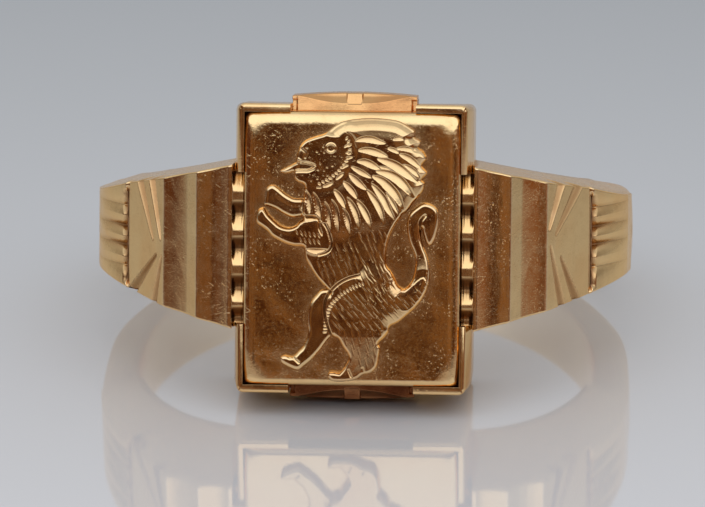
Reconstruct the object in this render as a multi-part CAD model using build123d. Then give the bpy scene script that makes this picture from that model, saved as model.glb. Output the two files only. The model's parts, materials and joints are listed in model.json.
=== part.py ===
from build123d import *
import math
import os

os.makedirs("parts", exist_ok=True)

# ---------------------------------------------------------------- dimensions, mm
finger_radius = 9.0          # inside of the hoop, worn size about 18 mm across
face_depth = 13.0            # plate front to the centre of the finger hole
plate_half_width = 3.94      # plate, across the finger
plate_half_height = 4.99     # plate, along the finger
plate_thickness = 1.0
plate_round = 0.28           # pillowed front edge of the plate
plate_corner = 0.22
seat_clearance = 0.04        # open line between plate and frame
rim_half_width = 4.20        # frame at its front rim
rim_half_height = 5.33
frame_half_width = 4.40      # frame at its foot
frame_half_height = 5.08     # its two ends draw in toward the finger
rim_setback = 0.16           # rim lies this far behind the plate front
flare_end = 2.0              # depth at which the sides stop flaring
rail_half_length = 2.80
rail_outer = 4.46
rail_front = 0.66            # rail lands, behind the plate front
rail_back = 1.70
notch_depth = 0.34
# each notch: upper lip, floor, lower end of its slope, as heights along the finger
notches = ((3.20, 2.70, 2.05), (1.72, 1.24, 0.62), (0.40, -0.08, -0.68), (-1.00, -1.50, -2.02), (-2.18, -2.60, -3.05))
gallery_half_width = 2.30
gallery_outer = 5.67         # at the middle of the block
gallery_end = 5.56           # at its two ends, the outer face is bowed
gallery_front = 1.36
gallery_back = 3.40
diamond_half_width = 0.27    # land between the two leaf cuts of a gallery block
frame_corner = 0.26
lobe_grooves = (-1.08, -0.36, 0.36, 1.08)
hoop_half_width = 1.50
hoop_back = 10.30            # outer radius at the back of the hoop
hoop_side = 10.40            # outer radius beside the finger
joint_y = -2.50              # plane where shoulders meet the hoop
relief_low = 0.38            # limbs and tail above the plate
relief_high = 0.50           # mane and chest above the plate
relief_thigh = 0.46

inner_w = plate_half_width + seat_clearance
inner_h = plate_half_height + seat_clearance

# Working frame: origin in the centre of the finger hole, X across the finger,
# face toward -Y, Z along the finger. D is depth behind the plate front.


def yd(depth):
    return -face_depth + depth


def block(x0, x1, y0, y1, z0, z1):
    return Pos((x0 + x1) / 2, (y0 + y1) / 2, (z0 + z1) / 2) * Box(
        abs(x1 - x0), abs(y1 - y0), abs(z1 - z0)
    )


def prism_xy(points, z0, z1):
    # outline in X,Y carried along Z
    face = make_face(Polyline(*[(p[0], p[1], z0) for p in points], close=True))
    return extrude(face, amount=z1 - z0, dir=(0, 0, 1))


def prism_xz(points, y0, y1):
    # outline in X,Z carried along Y
    face = make_face(Polyline(*[(p[0], y0, p[1]) for p in points], close=True))
    return extrude(face, amount=y1 - y0, dir=(0, 1, 0))


def prism_yz(points, x0, x1):
    # outline in Y,Z carried along X
    face = make_face(Polyline(*[(x0, p[0], p[1]) for p in points], close=True))
    return extrude(face, amount=x1 - x0, dir=(1, 0, 0))


def rod(a, b, radius):
    # round bar from point a to point b
    va, vb = Vector(*a), Vector(*b)
    d = vb - va
    return Plane(origin=va, z_dir=d) * Cylinder(
        radius, d.length, align=(Align.CENTER, Align.CENTER, Align.MIN)
    )


finger_hole = Cylinder(finger_radius, 40)

# ---------------------------------------------------------------- face plate
face_plate = block(
    -plate_half_width, plate_half_width, yd(0), yd(plate_thickness),
    -plate_half_height, plate_half_height,
)
face_plate = fillet(face_plate.edges().filter_by(Axis.Y), plate_corner)
front = face_plate.faces().sort_by(Axis.Y)[0]
face_plate = fillet(front.edges(), plate_round)

# ---------------------------------------------------------------- head base
head_base = block(-inner_w, inner_w, yd(plate_thickness), yd(7.0), -inner_h, inner_h)
head_base = head_base - finger_hole

# ---------------------------------------------------------------- bezel frame
side_outline = [
    (-rim_half_width, yd(rim_setback)), (rim_half_width, yd(rim_setback)),
    (frame_half_width, yd(flare_end)), (frame_half_width, yd(7.0)),
    (-frame_half_width, yd(7.0)), (-frame_half_width, yd(flare_end)),
]
end_outline = [
    (yd(rim_setback), -rim_half_height), (yd(7.0), -frame_half_height),
    (yd(7.0), frame_half_height), (yd(rim_setback), rim_half_height),
]
frame_body = prism_xy(side_outline, -8, 8) & prism_yz(end_outline, -8, 8)
corner_edges = [
    e for e in frame_body.edges()
    if abs((e @ 0.5).X) > rim_half_width - 0.01 and abs((e @ 0.5).Z) > frame_half_height - 0.01
    and abs((e @ 1).Y - (e @ 0).Y) > 0.5
]
frame_body = fillet(corner_edges, frame_corner)
frame_body = frame_body - block(-inner_w, inner_w, yd(-2), yd(8), -inner_h, inner_h)
frame_body = frame_body - finger_hole
# openings for the rails and for the two gallery blocks
frame_body = frame_body - block(-8, 8, yd(-2), yd(rail_back), -rail_half_length, rail_half_length)
frame_body = frame_body - block(
    -gallery_half_width, gallery_half_width, yd(-2), yd(gallery_back), -8, 8
)
bezel_frame = frame_body

# ---------------------------------------------------------------- gallery blocks
def gallery(sign):
    w, y0 = gallery_half_width, yd(gallery_front)
    outline = make_face(Wire([
        Line((-w, y0, inner_h), (w, y0, inner_h)), Line((w, y0, inner_h), (w, y0, gallery_end)),
        ThreePointArc((w, y0, gallery_end), (0, y0, gallery_outer), (-w, y0, gallery_end)),
        Line((-w, y0, gallery_end), (-w, y0, inner_h)),
    ]))
    b = extrude(outline, amount=gallery_back - gallery_front, dir=(0, 1, 0))
    # two leaf-shaped scoops, deepest beside the diamond land in the middle
    for side in (-1, 1):
        leaf = Pos(side * 0.30, yd(gallery_front) - 8.0, 12.615) * Sphere(10.84)
        lo, hi = sorted((side * diamond_half_width, side * 4.0))
        b = b - (leaf & block(lo, hi, yd(-6), yd(6), 3.0, 9.0))
    # small chamfer along the foot
    b = b - prism_yz(
        [(yd(gallery_back) - 0.35, gallery_outer), (yd(gallery_back) + 0.1, gallery_outer),
         (yd(gallery_back) + 0.1, gallery_outer - 0.45)], -4, 4)
    if sign < 0:
        b = mirror(b, about=Plane.XY)
    return b


gallery_north = gallery(1)
gallery_south = gallery(-1)


# ---------------------------------------------------------------- notched rails
def rail(sign):
    r = block(inner_w, rail_outer, yd(rail_front), yd(rail_back), -rail_half_length, rail_half_length)
    for lip, floor, foot in notches:
        out = 0.30
        lip_out = lip + out * 0.4
        foot_out = foot - (floor - foot) * out / notch_depth
        r = r - prism_yz(
            [(yd(rail_front), lip), (yd(rail_front) + notch_depth * 0.75, floor + 0.16),
             (yd(rail_front) + notch_depth, floor), (yd(rail_front), foot),
             (yd(rail_front) - out, foot_out), (yd(rail_front) - out, lip_out)],
            inner_w - 1, rail_outer + 1)
    if sign < 0:
        r = mirror(r, about=Plane.YZ)
    return r


rail_right = rail(1)
rail_left = rail(-1)


# ---------------------------------------------------------------- shoulders
def shoulder_solid():
    y = yd
    edges = [
        Line((rail_outer, y(0.72)), (4.58, y(0.72))),
        ThreePointArc((4.58, y(0.72)), (5.20, y(1.09)), (5.80, y(1.22))),
        Line((5.80, y(1.22)), (6.19, y(1.82))),
        ThreePointArc((6.19, y(1.82)), (6.66, y(2.19)), (7.13, y(2.45))),
        Line((7.13, y(2.45)), (7.42, y(2.95))),
        Line((7.42, y(2.95)), (8.70, y(5.60))),
        Line((8.70, y(5.60)), (8.66, y(5.80))),
        Line((8.66, y(5.80)), (8.86, y(5.80))),
        ThreePointArc((8.86, y(5.80)), (9.73, y(7.60)), (10.19, y(9.30))),
        Line((10.19, y(9.30)), (10.33, joint_y)),
        Line((10.33, joint_y), (math.sqrt(finger_radius**2 - joint_y**2), joint_y)),
        Line((math.sqrt(finger_radius**2 - joint_y**2), joint_y), (7.2, joint_y)),
        Line((7.2, joint_y), (frame_half_width, y(7.0))),
        Line((frame_half_width, y(7.0)), (frame_half_width, y(rail_back))),
        Line((frame_half_width, y(rail_back)), (rail_outer, y(rail_back))),
        Line((rail_outer, y(rail_back)), (rail_outer, y(0.72))),
    ]
    face = make_face(Wire(edges))
    solid = extrude(Pos(0, 0, -4) * face, amount=8, dir=(0, 0, 1))
    taper = prism_xz(
        [(4.0, 3.14), (4.60, 3.00), (7.30, 2.38), (8.80, 2.00), (10.10, 1.57), (10.33, hoop_half_width),
         (10.8, hoop_half_width), (10.8, -hoop_half_width), (10.33, -hoop_half_width), (10.10, -1.57),
         (8.80, -2.00), (7.30, -2.38), (4.60, -3.00), (4.0, -3.14)],
        -14, 0,
    )
    solid = (solid & taper) - finger_hole
    # carved V grooves on the facet, two from each edge toward mid height
    def on_facet(s, z, lift=0.0):
        ax, ay, bx, by = 7.42, y(2.95), 8.70, y(5.60)
        nx, ny = (by - ay), -(bx - ax)
        n = math.hypot(nx, ny)
        return (ax + (bx - ax) * s + nx / n * lift, ay + (by - ay) * s + ny / n * lift, z)
    for zsign in (-1, 1):
        z_in = 0.10 if zsign > 0 else 0.65
        for s_edge, s_in in ((0.24, -0.06), (0.62, 0.10)):
            solid = solid - rod(on_facet(s_edge, zsign * 2.45, 0.05), on_facet(s_in, zsign * z_in, 0.12), 0.17)
    # round-edged lobes on the outer end, parted by grooves that run round the hoop
    for zc in lobe_grooves:
        r = 0.13 if abs(zc) < 0.5 else 0.10
        solid = solid - rod((8.75, y(5.2), zc), (9.86, y(7.6), zc), r)
        solid = solid - rod((9.80, y(7.35), zc), (10.36, y(9.75), zc), r)
    return solid


shoulder_right = shoulder_solid()
shoulder_left = mirror(shoulder_right, about=Plane.YZ)

# ---------------------------------------------------------------- shank
inner_x = math.sqrt(finger_radius**2 - joint_y**2)
outer_curve = Spline(
    (10.33, joint_y), (hoop_side, -0.6), (9.98, 3.0), (7.33, 7.28), (3.9, 9.56), (0, hoop_back),
    (-3.9, 9.56), (-7.33, 7.28), (-9.98, 3.0), (-hoop_side, -0.6), (-10.33, joint_y),
    tangents=[(0.04, 1), (0.04, -1)],
)
inner_arc = ThreePointArc((-inner_x, joint_y), (0, finger_radius), (inner_x, joint_y))
hoop_face = make_face(
    Wire([outer_curve, Line((-10.33, joint_y), (-inner_x, joint_y)), inner_arc,
          Line((inner_x, joint_y), (10.33, joint_y))])
)
shank = extrude(Pos(0, 0, -hoop_half_width) * hoop_face, amount=2 * hoop_half_width, dir=(0, 0, 1))
outer_edges = [
    e for e in shank.edges()
    if abs(abs(e.center().Z) - hoop_half_width) < 1e-3 and e.length > 30
    and math.hypot((e @ 0.5).X, (e @ 0.5).Y) > 9.6
]
shank = fillet(outer_edges, 0.32)

# ---------------------------------------------------------------- lion relief
# Outlines are X,Z points on the plate; the animal stands upright facing left.
body_outline = [
    (-2.02, 3.20), (-1.95, 3.68), (-1.73, 4.01), (-1.34, 4.13), (-0.98, 4.13), (-0.84, 4.36),
    (-0.58, 4.62), (-0.09, 4.72), (0.75, 4.83), (1.52, 4.78), (2.03, 4.57), (2.29, 4.34),
    (2.27, 4.16), (2.50, 3.97), (2.37, 3.80), (2.60, 3.66), (2.73, 3.41), (2.55, 3.13),
    (2.76, 2.87), (2.53, 2.61), (2.66, 2.50), (2.63, 2.28), (2.42, 1.97), (2.24, 1.76),
    (2.03, 1.46), (1.65, 1.02), (1.40, 0.51), (1.29, -0.04), (1.29, -0.55), (1.51, -0.77),
    (1.74, -1.25), (1.97, -1.36), (2.20, -1.12), (2.32, -0.82), (2.33, -0.33), (2.15, 0.24),
    (2.04, 0.81), (2.07, 1.22), (2.38, 1.59), (2.63, 1.78), (2.92, 1.74), (3.13, 1.55),
    (3.19, 1.28), (3.13, 0.81), (3.05, 0.46), (2.83, 0.24), (2.66, 0.51), (2.70, 0.90),
    (2.60, 0.46), (2.66, 0.11), (2.83, -0.33), (2.88, -0.88), (2.86, -1.17), (2.71, -1.58),
    (2.38, -2.01), (2.01, -2.38), (1.74, -2.61), (1.45, -2.75), (1.42, -2.95), (1.23, -3.20),
    (1.01, -3.40), (1.09, -3.54), (1.06, -3.82), (0.98, -4.24), (0.79, -4.47), (0.43, -4.58),
    (0.35, -4.67), (0.01, -4.78), (-0.69, -4.78), (-0.82, -4.62), (-0.77, -4.50), (-0.38, -4.51),
    (-0.27, -4.39), (-0.13, -4.14), (-0.04, -3.91), (-0.30, -3.49), (-0.46, -3.21), (-0.75, -3.21),
    (-1.12, -3.69), (-1.39, -4.00), (-1.72, -4.28), (-2.01, -4.39), (-2.31, -4.28), (-2.54, -4.14),
    (-2.57, -3.97), (-2.45, -3.91), (-2.12, -3.94), (-1.89, -3.72), (-1.70, -3.46), (-1.56, -3.24),
    (-1.56, -2.68), (-1.56, -2.22), (-1.44, -1.87), (-1.20, -1.61), (-0.90, -1.38), (-1.25, -1.00),
    (-1.50, -0.62), (-1.68, -0.29), (-1.73, 0.11), (-2.31, 0.20), (-2.68, 0.36), (-2.92, 0.50),
    (-3.11, 0.71), (-3.31, 0.85), (-3.48, 0.97), (-3.50, 1.18), (-3.39, 1.48), (-3.21, 1.53),
    (-3.04, 1.30), (-2.80, 1.06), (-2.57, 0.88), (-2.27, 0.83), (-2.08, 1.06), (-2.31, 1.25),
    (-2.73, 1.44), (-3.17, 1.62), (-3.18, 2.16), (-2.90, 2.37), (-2.68, 2.24), (-2.38, 2.00),
    (-2.12, 1.87), (-1.80, 1.87), (-1.73, 2.21), (-1.75, 2.40), (-1.99, 2.50), (-2.12, 2.65),
    (-2.08, 2.88), (-2.40, 2.76), (-2.63, 2.89), (-2.27, 3.07), (-1.96, 3.10),
]
mane_outline = [
    (-0.78, 4.20), (-0.52, 4.42), (-0.05, 4.55), (0.75, 4.66), (1.47, 4.62), (1.92, 4.43),
    (2.20, 4.02), (2.42, 3.60), (2.48, 3.15), (2.44, 2.70), (2.36, 2.30), (2.05, 1.90),
    (1.60, 1.38), (1.15, 0.95), (0.72, 0.86), (0.28, 0.83), (-0.10, 0.66), (-0.50, 0.70),
    (-0.85, 0.72), (-1.00, 1.10), (-1.40, 1.40), (-1.62, 1.95), (-1.60, 2.45), (-1.20, 2.75),
    (-0.95, 3.10), (-1.00, 3.50),
]
thigh_outline = [
    (-0.60, -1.70), (-0.20, -1.12), (0.45, -0.95), (1.15, -1.00), (1.72, -1.45), (2.10, -1.75),
    (1.80, -2.30), (1.30, -2.62), (1.02, -3.10), (0.82, -3.70), (0.55, -4.05), (0.20, -3.95),
    (-0.15, -3.30), (-0.52, -2.80), (-0.80, -2.20),
]


def relief(points, height):
    wire = Polyline(*[(x, yd(0), z) for x, z in points], close=True)
    return extrude(make_face(wire), amount=height, dir=(0, -1, 0))


lion_relief = relief(body_outline, relief_low) + relief(mane_outline, relief_high) + relief(thigh_outline, relief_thigh)
eye = Pos(-0.77, yd(0), 3.75) * Rot(90, 0, 0) * Cylinder(
    0.20, 0.42, align=(Align.CENTER, Align.CENTER, Align.MIN)
)
lion_relief = lion_relief + eye

# ---------------------------------------------------------------- resting pose
# The ring leans back until the foot of its lower gallery block and the back
# of the hoop both touch the table.
foot_y = yd(gallery_back - 0.35)
foot_z = -gallery_outer
back_y = hoop_back - 0.32
back_z = -hoop_half_width
lean = math.atan2(back_z - foot_z, back_y - foot_y)
low = -back_y * math.sin(lean) + back_z * math.cos(lean)
# the rounded back edge reaches a little lower than the end of its flat
round_y, round_z = hoop_back - 0.32, -hoop_half_width + 0.32
for _ in range(40):
    low = -round_y * math.sin(lean) + round_z * math.cos(lean) - 0.32
    low_foot = -foot_y * math.sin(lean) + foot_z * math.cos(lean)
    lean = lean + (low - low_foot) / (back_y - foot_y)
lean_degrees = math.degrees(lean)
print("lean", lean_degrees)

nodes = {
    "shank": shank,
    "shoulder_left": shoulder_left,
    "shoulder_right": shoulder_right,
    "head_base": head_base,
    "bezel_frame": bezel_frame,
    "gallery_north": gallery_north,
    "gallery_south": gallery_south,
    "rail_left": rail_left,
    "rail_right": rail_right,
    "face_plate": face_plate,
    "lion_relief": lion_relief,
}
turned = {name: Rot(-lean_degrees, 0, 0) * shape for name, shape in nodes.items()}
boxes = [s.bounding_box() for s in turned.values()]
z_low = min(b.min.Z for b in boxes)
y_mid = (min(b.min.Y for b in boxes) + max(b.max.Y for b in boxes)) / 2
x_mid = (min(b.min.X for b in boxes) + max(b.max.X for b in boxes)) / 2
print("offset", -x_mid, -y_mid, -z_low)
for name, shape in turned.items():
    placed = Pos(-x_mid, -y_mid, -z_low) * shape
    solids = placed.solids()
    out = solids[0] if len(solids) == 1 else Compound(children=list(solids))
    print(name, len(solids), round(sum(s.volume for s in solids), 3), all(s.is_valid for s in solids))
    export_step(out, f"parts/{name}.step")
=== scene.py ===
import json
import math

import bmesh
import bpy
import numpy as np
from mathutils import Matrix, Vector
from mathutils.geometry import tessellate_polygon

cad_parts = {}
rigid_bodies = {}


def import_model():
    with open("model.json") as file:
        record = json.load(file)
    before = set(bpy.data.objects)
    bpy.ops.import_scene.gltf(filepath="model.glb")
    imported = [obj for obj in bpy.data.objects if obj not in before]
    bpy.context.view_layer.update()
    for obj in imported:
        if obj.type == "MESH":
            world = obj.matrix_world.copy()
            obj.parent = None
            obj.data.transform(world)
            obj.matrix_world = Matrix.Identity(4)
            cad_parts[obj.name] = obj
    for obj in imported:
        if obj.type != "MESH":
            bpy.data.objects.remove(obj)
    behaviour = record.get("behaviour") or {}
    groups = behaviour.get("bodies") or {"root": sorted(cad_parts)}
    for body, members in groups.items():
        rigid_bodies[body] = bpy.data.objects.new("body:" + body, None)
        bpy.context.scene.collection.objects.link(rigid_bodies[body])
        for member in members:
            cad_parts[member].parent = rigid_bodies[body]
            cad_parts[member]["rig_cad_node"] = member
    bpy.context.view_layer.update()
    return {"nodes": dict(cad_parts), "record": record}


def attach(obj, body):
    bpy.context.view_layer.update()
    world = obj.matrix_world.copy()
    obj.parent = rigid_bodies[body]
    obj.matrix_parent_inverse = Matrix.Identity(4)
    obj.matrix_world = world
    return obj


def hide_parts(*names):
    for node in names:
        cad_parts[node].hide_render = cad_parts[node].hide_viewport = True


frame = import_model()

# ------------------------------------------------------------------ ring frame
# Lengths below are in mm in the ring's own frame: origin in the centre of the
# finger hole, X across the finger, face toward -Y, Z along the finger. D is the
# depth behind the plate's front. place() takes them to the part's frame.
mount = next(m for m in frame["record"]["mounts"] if m["name"] == "finger_hole")
ORIGIN = np.array(mount["pos_m"], float)
ZAX = np.array(mount["axis"], float)
ZAX = ZAX / np.linalg.norm(ZAX)
XAX = np.array([1.0, 0.0, 0.0])
YAX = np.cross(ZAX, XAX)
TURN = np.stack([XAX, YAX, ZAX], 1)
R_IN = mount["dims"]["r_mm"]
FACE = 13.0                       # plate front to the centre of the hole


def place(points):
    return ORIGIN + (np.asarray(points, float) * 0.001) @ TURN.T


def unplace(points):
    return ((np.asarray(points, float) - ORIGIN) @ TURN) * 1000.0


rng = np.random.default_rng(41)


# ------------------------------------------------------------------ mesh tools
def grid_faces(nu, nv, wrap=False, base=0):
    i = np.arange(nu - 1)[:, None]
    j = np.arange(nv if wrap else nv - 1)[None, :]
    k = (j + 1) % nv
    quads = np.stack([i * nv + j, i * nv + k, (i + 1) * nv + k, (i + 1) * nv + j], -1)
    return quads.reshape(-1, 4) + base


def make_piece(name, points_mm, faces, node, material, attrs=None, smooth=True, recalc=True):
    mesh = bpy.data.meshes.new(name)
    mesh.from_pydata(place(points_mm).tolist(), [], [list(map(int, f)) for f in faces])
    if recalc:
        bm = bmesh.new()
        bm.from_mesh(mesh)
        bmesh.ops.recalc_face_normals(bm, faces=bm.faces)
        bm.to_mesh(mesh)
        bm.free()
    for key, values in (attrs or {}).items():
        layer = mesh.attributes.new(key, "FLOAT", "POINT")
        layer.data.foreach_set("value", np.asarray(values, np.float32))
    if smooth:
        mesh.polygons.foreach_set("use_smooth", [True] * len(mesh.polygons))
    mesh.update()
    obj = bpy.data.objects.new(name, mesh)
    bpy.context.scene.collection.objects.link(obj)
    mesh.materials.append(material)
    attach(obj, "root")
    if node:
        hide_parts(node)
    return obj


def smoothstep(a, b, x):
    t = np.clip((x - a) / (b - a), 0.0, 1.0)
    return t * t * (3 - 2 * t)


def catmull(points, per=5, closed=True):
    p = np.asarray(points, float)
    n = len(p)
    out = []
    last = n if closed else n - 1
    for i in range(last):
        if closed:
            a, b, c, d = p[(i - 1) % n], p[i], p[(i + 1) % n], p[(i + 2) % n]
        else:
            a, b, c, d = p[max(i - 1, 0)], p[i], p[i + 1], p[min(i + 2, n - 1)]
        # centripetal weights keep the curve from overshooting at tight corners
        t0 = 0.0
        t1 = t0 + max(np.linalg.norm(b - a), 1e-6) ** 0.5
        t2 = t1 + max(np.linalg.norm(c - b), 1e-6) ** 0.5
        t3 = t2 + max(np.linalg.norm(d - c), 1e-6) ** 0.5
        for k in range(per):
            t = t1 + (t2 - t1) * k / per
            a1 = (t1 - t) / (t1 - t0) * a + (t - t0) / (t1 - t0) * b
            a2 = (t2 - t) / (t2 - t1) * b + (t - t1) / (t2 - t1) * c
            a3 = (t3 - t) / (t3 - t2) * c + (t - t2) / (t3 - t2) * d
            b1 = (t2 - t) / (t2 - t0) * a1 + (t - t0) / (t2 - t0) * a2
            b2 = (t3 - t) / (t3 - t1) * a2 + (t - t1) / (t3 - t1) * a3
            out.append((t2 - t) / (t2 - t1) * b1 + (t - t1) / (t2 - t1) * b2)
    if not closed:
        out.append(p[-1])
    return np.array(out)


def resample(points, step):
    p = np.asarray(points, float)
    seg = np.linalg.norm(np.diff(p, axis=0), axis=1)
    s = np.concatenate([[0], np.cumsum(seg)])
    n = max(2, int(round(s[-1] / step)) + 1)
    q = np.linspace(0, s[-1], n)
    return np.stack([np.interp(q, s, p[:, k]) for k in range(p.shape[1])], 1), q


def gauss1(values, sigma_samples):
    r = int(math.ceil(sigma_samples * 3))
    if r < 1:
        return values
    k = np.exp(-0.5 * (np.arange(-r, r + 1) / sigma_samples) ** 2)
    k /= k.sum()
    pad = np.concatenate([2 * values[0] - values[1:r + 1][::-1], values, 2 * values[-1] - values[-r - 1:-1][::-1]])
    return np.convolve(pad, k, "valid")


def blur2(a, sigma):
    r = max(1, int(math.ceil(sigma * 2.5)))
    k = np.exp(-0.5 * (np.arange(-r, r + 1) / sigma) ** 2)
    k /= k.sum()
    b = np.pad(a, r, mode="edge")
    b = np.apply_along_axis(lambda m: np.convolve(m, k, "valid"), 0, b)
    return np.apply_along_axis(lambda m: np.convolve(m, k, "valid"), 1, b)


def value_noise(x, y, scale, seed):
    # smooth lattice noise in -1..1
    g = np.random.default_rng(seed).uniform(-1, 1, (64, 64))
    u, v = np.asarray(x) * scale + 31.7, np.asarray(y) * scale + 17.3
    iu, iv = np.floor(u).astype(int), np.floor(v).astype(int)
    fu, fv = u - iu, v - iv
    fu, fv = fu * fu * (3 - 2 * fu), fv * fv * (3 - 2 * fv)
    a = g[iu % 64, iv % 64]
    b = g[(iu + 1) % 64, iv % 64]
    c = g[iu % 64, (iv + 1) % 64]
    d = g[(iu + 1) % 64, (iv + 1) % 64]
    return (a * (1 - fu) + b * fu) * (1 - fv) + (c * (1 - fu) + d * fu) * fv


# ------------------------------------------------------------------ materials
def node(nt, kind, **props):
    n = nt.nodes.new(kind)
    for k, v in props.items():
        setattr(n, k, v)
    return n


def gold(name, base, tint, rough, scratch=1.0, grain_axis=(1, 1, 1), wave=1.0, pits=0.5,
         cavity_shade=0.0, near=False, edge=0.0, dark=(0.16, 0.055, 0.016), rough_cav=0.25, fine=1.0):
    """Worn gold. base and tint are the two metal colours that drift into each other, rough is the lowest and highest
    roughness;
    cavity_shade (painted shade mixed toward dark), near and edge read values stored on the mesh."""
    m = bpy.data.materials.new(name)
    m.use_nodes = True
    nt = m.node_tree
    nt.nodes.clear()
    out = node(nt, "ShaderNodeOutputMaterial")
    bsdf = node(nt, "ShaderNodeBsdfPrincipled")
    nt.links.new(bsdf.outputs["BSDF"], out.inputs["Surface"])
    bsdf.inputs["Metallic"].default_value = 1.0
    bsdf.inputs["IOR"].default_value = 1.5
    bsdf.inputs["Specular Tint"].default_value = (0.97, 0.82, 0.62, 1)
    tc = node(nt, "ShaderNodeTexCoord")
    mm = node(nt, "ShaderNodeMapping")
    mm.inputs["Scale"].default_value = (1000, 1000, 1000)
    nt.links.new(tc.outputs["Object"], mm.inputs["Vector"])
    vec = mm.outputs["Vector"]

    def noise(scale, detail=2.0, rough_=0.5, src=None, dist=0.0):
        n = node(nt, "ShaderNodeTexNoise")
        n.inputs["Scale"].default_value = scale
        n.inputs["Detail"].default_value = detail
        n.inputs["Roughness"].default_value = rough_
        n.inputs["Distortion"].default_value = dist
        nt.links.new(src or vec, n.inputs["Vector"])
        return n.outputs["Fac"]

    def remap(value, a, b, c, d, smooth=False):
        n = node(nt, "ShaderNodeMapRange")
        if smooth:
            n.interpolation_type = "SMOOTHSTEP"
        nt.links.new(value, n.inputs["Value"])
        n.inputs["From Min"].default_value = a
        n.inputs["From Max"].default_value = b
        n.inputs["To Min"].default_value = c
        n.inputs["To Max"].default_value = d
        return n.outputs["Result"]

    def mix(fac, a, b):
        n = node(nt, "ShaderNodeMix", data_type="RGBA")
        nt.links.new(fac, n.inputs["Factor"])
        for sock, v in ((n.inputs[6], a), (n.inputs[7], b)):
            if hasattr(v, "is_linked") or hasattr(v, "links"):
                nt.links.new(v, sock)
            else:
                sock.default_value = (*v, 1)
        return n.outputs[2]

    def math_(op, a, b):
        n = node(nt, "ShaderNodeMath", operation=op)
        for sock, v in ((n.inputs[0], a), (n.inputs[1], b)):
            if isinstance(v, (int, float)):
                sock.default_value = v
            else:
                nt.links.new(v, sock)
        return n.outputs[0]

    def attr(key):
        n = node(nt, "ShaderNodeAttribute")
        n.attribute_name = key
        return n.outputs["Fac"]

    drift = remap(noise(0.55, 3.0), 0.32, 0.68, 0.0, 1.0, True)
    colour = mix(drift, base, tint)
    blot = remap(noise(3.2, 4.0, 0.6), 0.52, 0.74, 0.0, 0.35, True)
    colour = mix(blot, colour, tuple(0.78 * c for c in tint))
    roughness = remap(noise(2.3, 5.0, 0.65), 0.3, 0.72, rough[0], rough[1])
    if near:
        nr = remap(attr("near"), 0.0, 1.0, 0.0, 0.11)
        roughness = math_("ADD", roughness, nr)
    # painted shade: the stored cav value mixes the colour toward dark in hollows and gaps, and roughens it there
    if cavity_shade > 0:
        cav = remap(attr("cav"), 0.0, 1.0, 0.0, cavity_shade)
        colour = mix(cav, colour, dark)
        roughness = math_("ADD", roughness, math_("MULTIPLY", cav, rough_cav))
    if edge > 0:
        ed = remap(attr("edge"), 0.0, 1.0, 0.0, edge)
        colour = mix(ed, colour, (0.98, 0.80, 0.56))
    nt.links.new(colour, bsdf.inputs["Base Color"])
    roughness = math_("MAXIMUM", math_("MINIMUM", roughness, 0.9), 0.05)
    nt.links.new(roughness, bsdf.inputs["Roughness"])

    normal = None

    def bump(height, dist, strength=1.0):
        nonlocal normal
        n = node(nt, "ShaderNodeBump")
        n.inputs["Strength"].default_value = strength
        n.inputs["Distance"].default_value = dist
        nt.links.new(height, n.inputs["Height"])
        if normal is not None:
            nt.links.new(normal, n.inputs["Normal"])
        normal = n.outputs["Normal"]

    if wave > 0:
        bump(noise(0.75, 1.0), 0.000026 * wave)
        bump(noise(2.6, 2.0), 0.0000045 * wave)
    if fine > 0:
        bump(noise(24.0, 3.0, 0.6), 0.0000006 * fine)
        bump(remap(noise(9.0, 3.0, 0.65), 0.50, 0.72, 0.0, 1.0, True), 0.0000009 * fine)
    if scratch > 0:
        patch = remap(noise(0.8, 2.0, 0.6), 0.44, 0.64, 0.28, 1.0, True)
        total = None
        for k, (ang, scl, thr) in enumerate((((0.3, 0.2, 0.5), (0.9, 26, 26), 0.69), ((1.1, 0.7, 1.9), (1.2, 24, 24), 0.70),
                                            ((2.2, 1.3, 0.9), (0.8, 30, 30), 0.70), ((0.1, 2.6, 2.7), (1.6, 34, 34), 0.70))):
            rot = node(nt, "ShaderNodeMapping")
            rot.inputs["Rotation"].default_value = ang
            nt.links.new(vec, rot.inputs["Vector"])
            st = node(nt, "ShaderNodeMapping")
            st.inputs["Scale"].default_value = scl
            nt.links.new(rot.outputs["Vector"], st.inputs["Vector"])
            line = remap(noise(0.5, 1.0, 0.5, st.outputs["Vector"]), thr, thr + 0.07, 0.0, 1.0, True)
            total = line if total is None else math_("ADD", total, line)
        inv = math_("SUBTRACT", 1.0, math_("MULTIPLY", total, patch))
        bump(inv, 0.0000024 * scratch)
    if pits > 0:
        vor = node(nt, "ShaderNodeTexVoronoi")
        vor.inputs["Scale"].default_value = 1.25
        vor.inputs["Randomness"].default_value = 1.0
        nt.links.new(vec, vor.inputs["Vector"])
        dent = remap(vor.outputs["Distance"], 0.01, 0.075, 0.0, 1.0, True)
        bump(dent, 0.000004 * pits)
    if grain_axis != (1, 1, 1):
        st = node(nt, "ShaderNodeMapping")
        st.inputs["Scale"].default_value = grain_axis
        nt.links.new(vec, st.inputs["Vector"])
        bump(noise(1.0, 2.0, 0.6, st.outputs["Vector"]), 0.0000018)
    if normal is not None:
        nt.links.new(normal, bsdf.inputs["Normal"])
    return m


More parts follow.
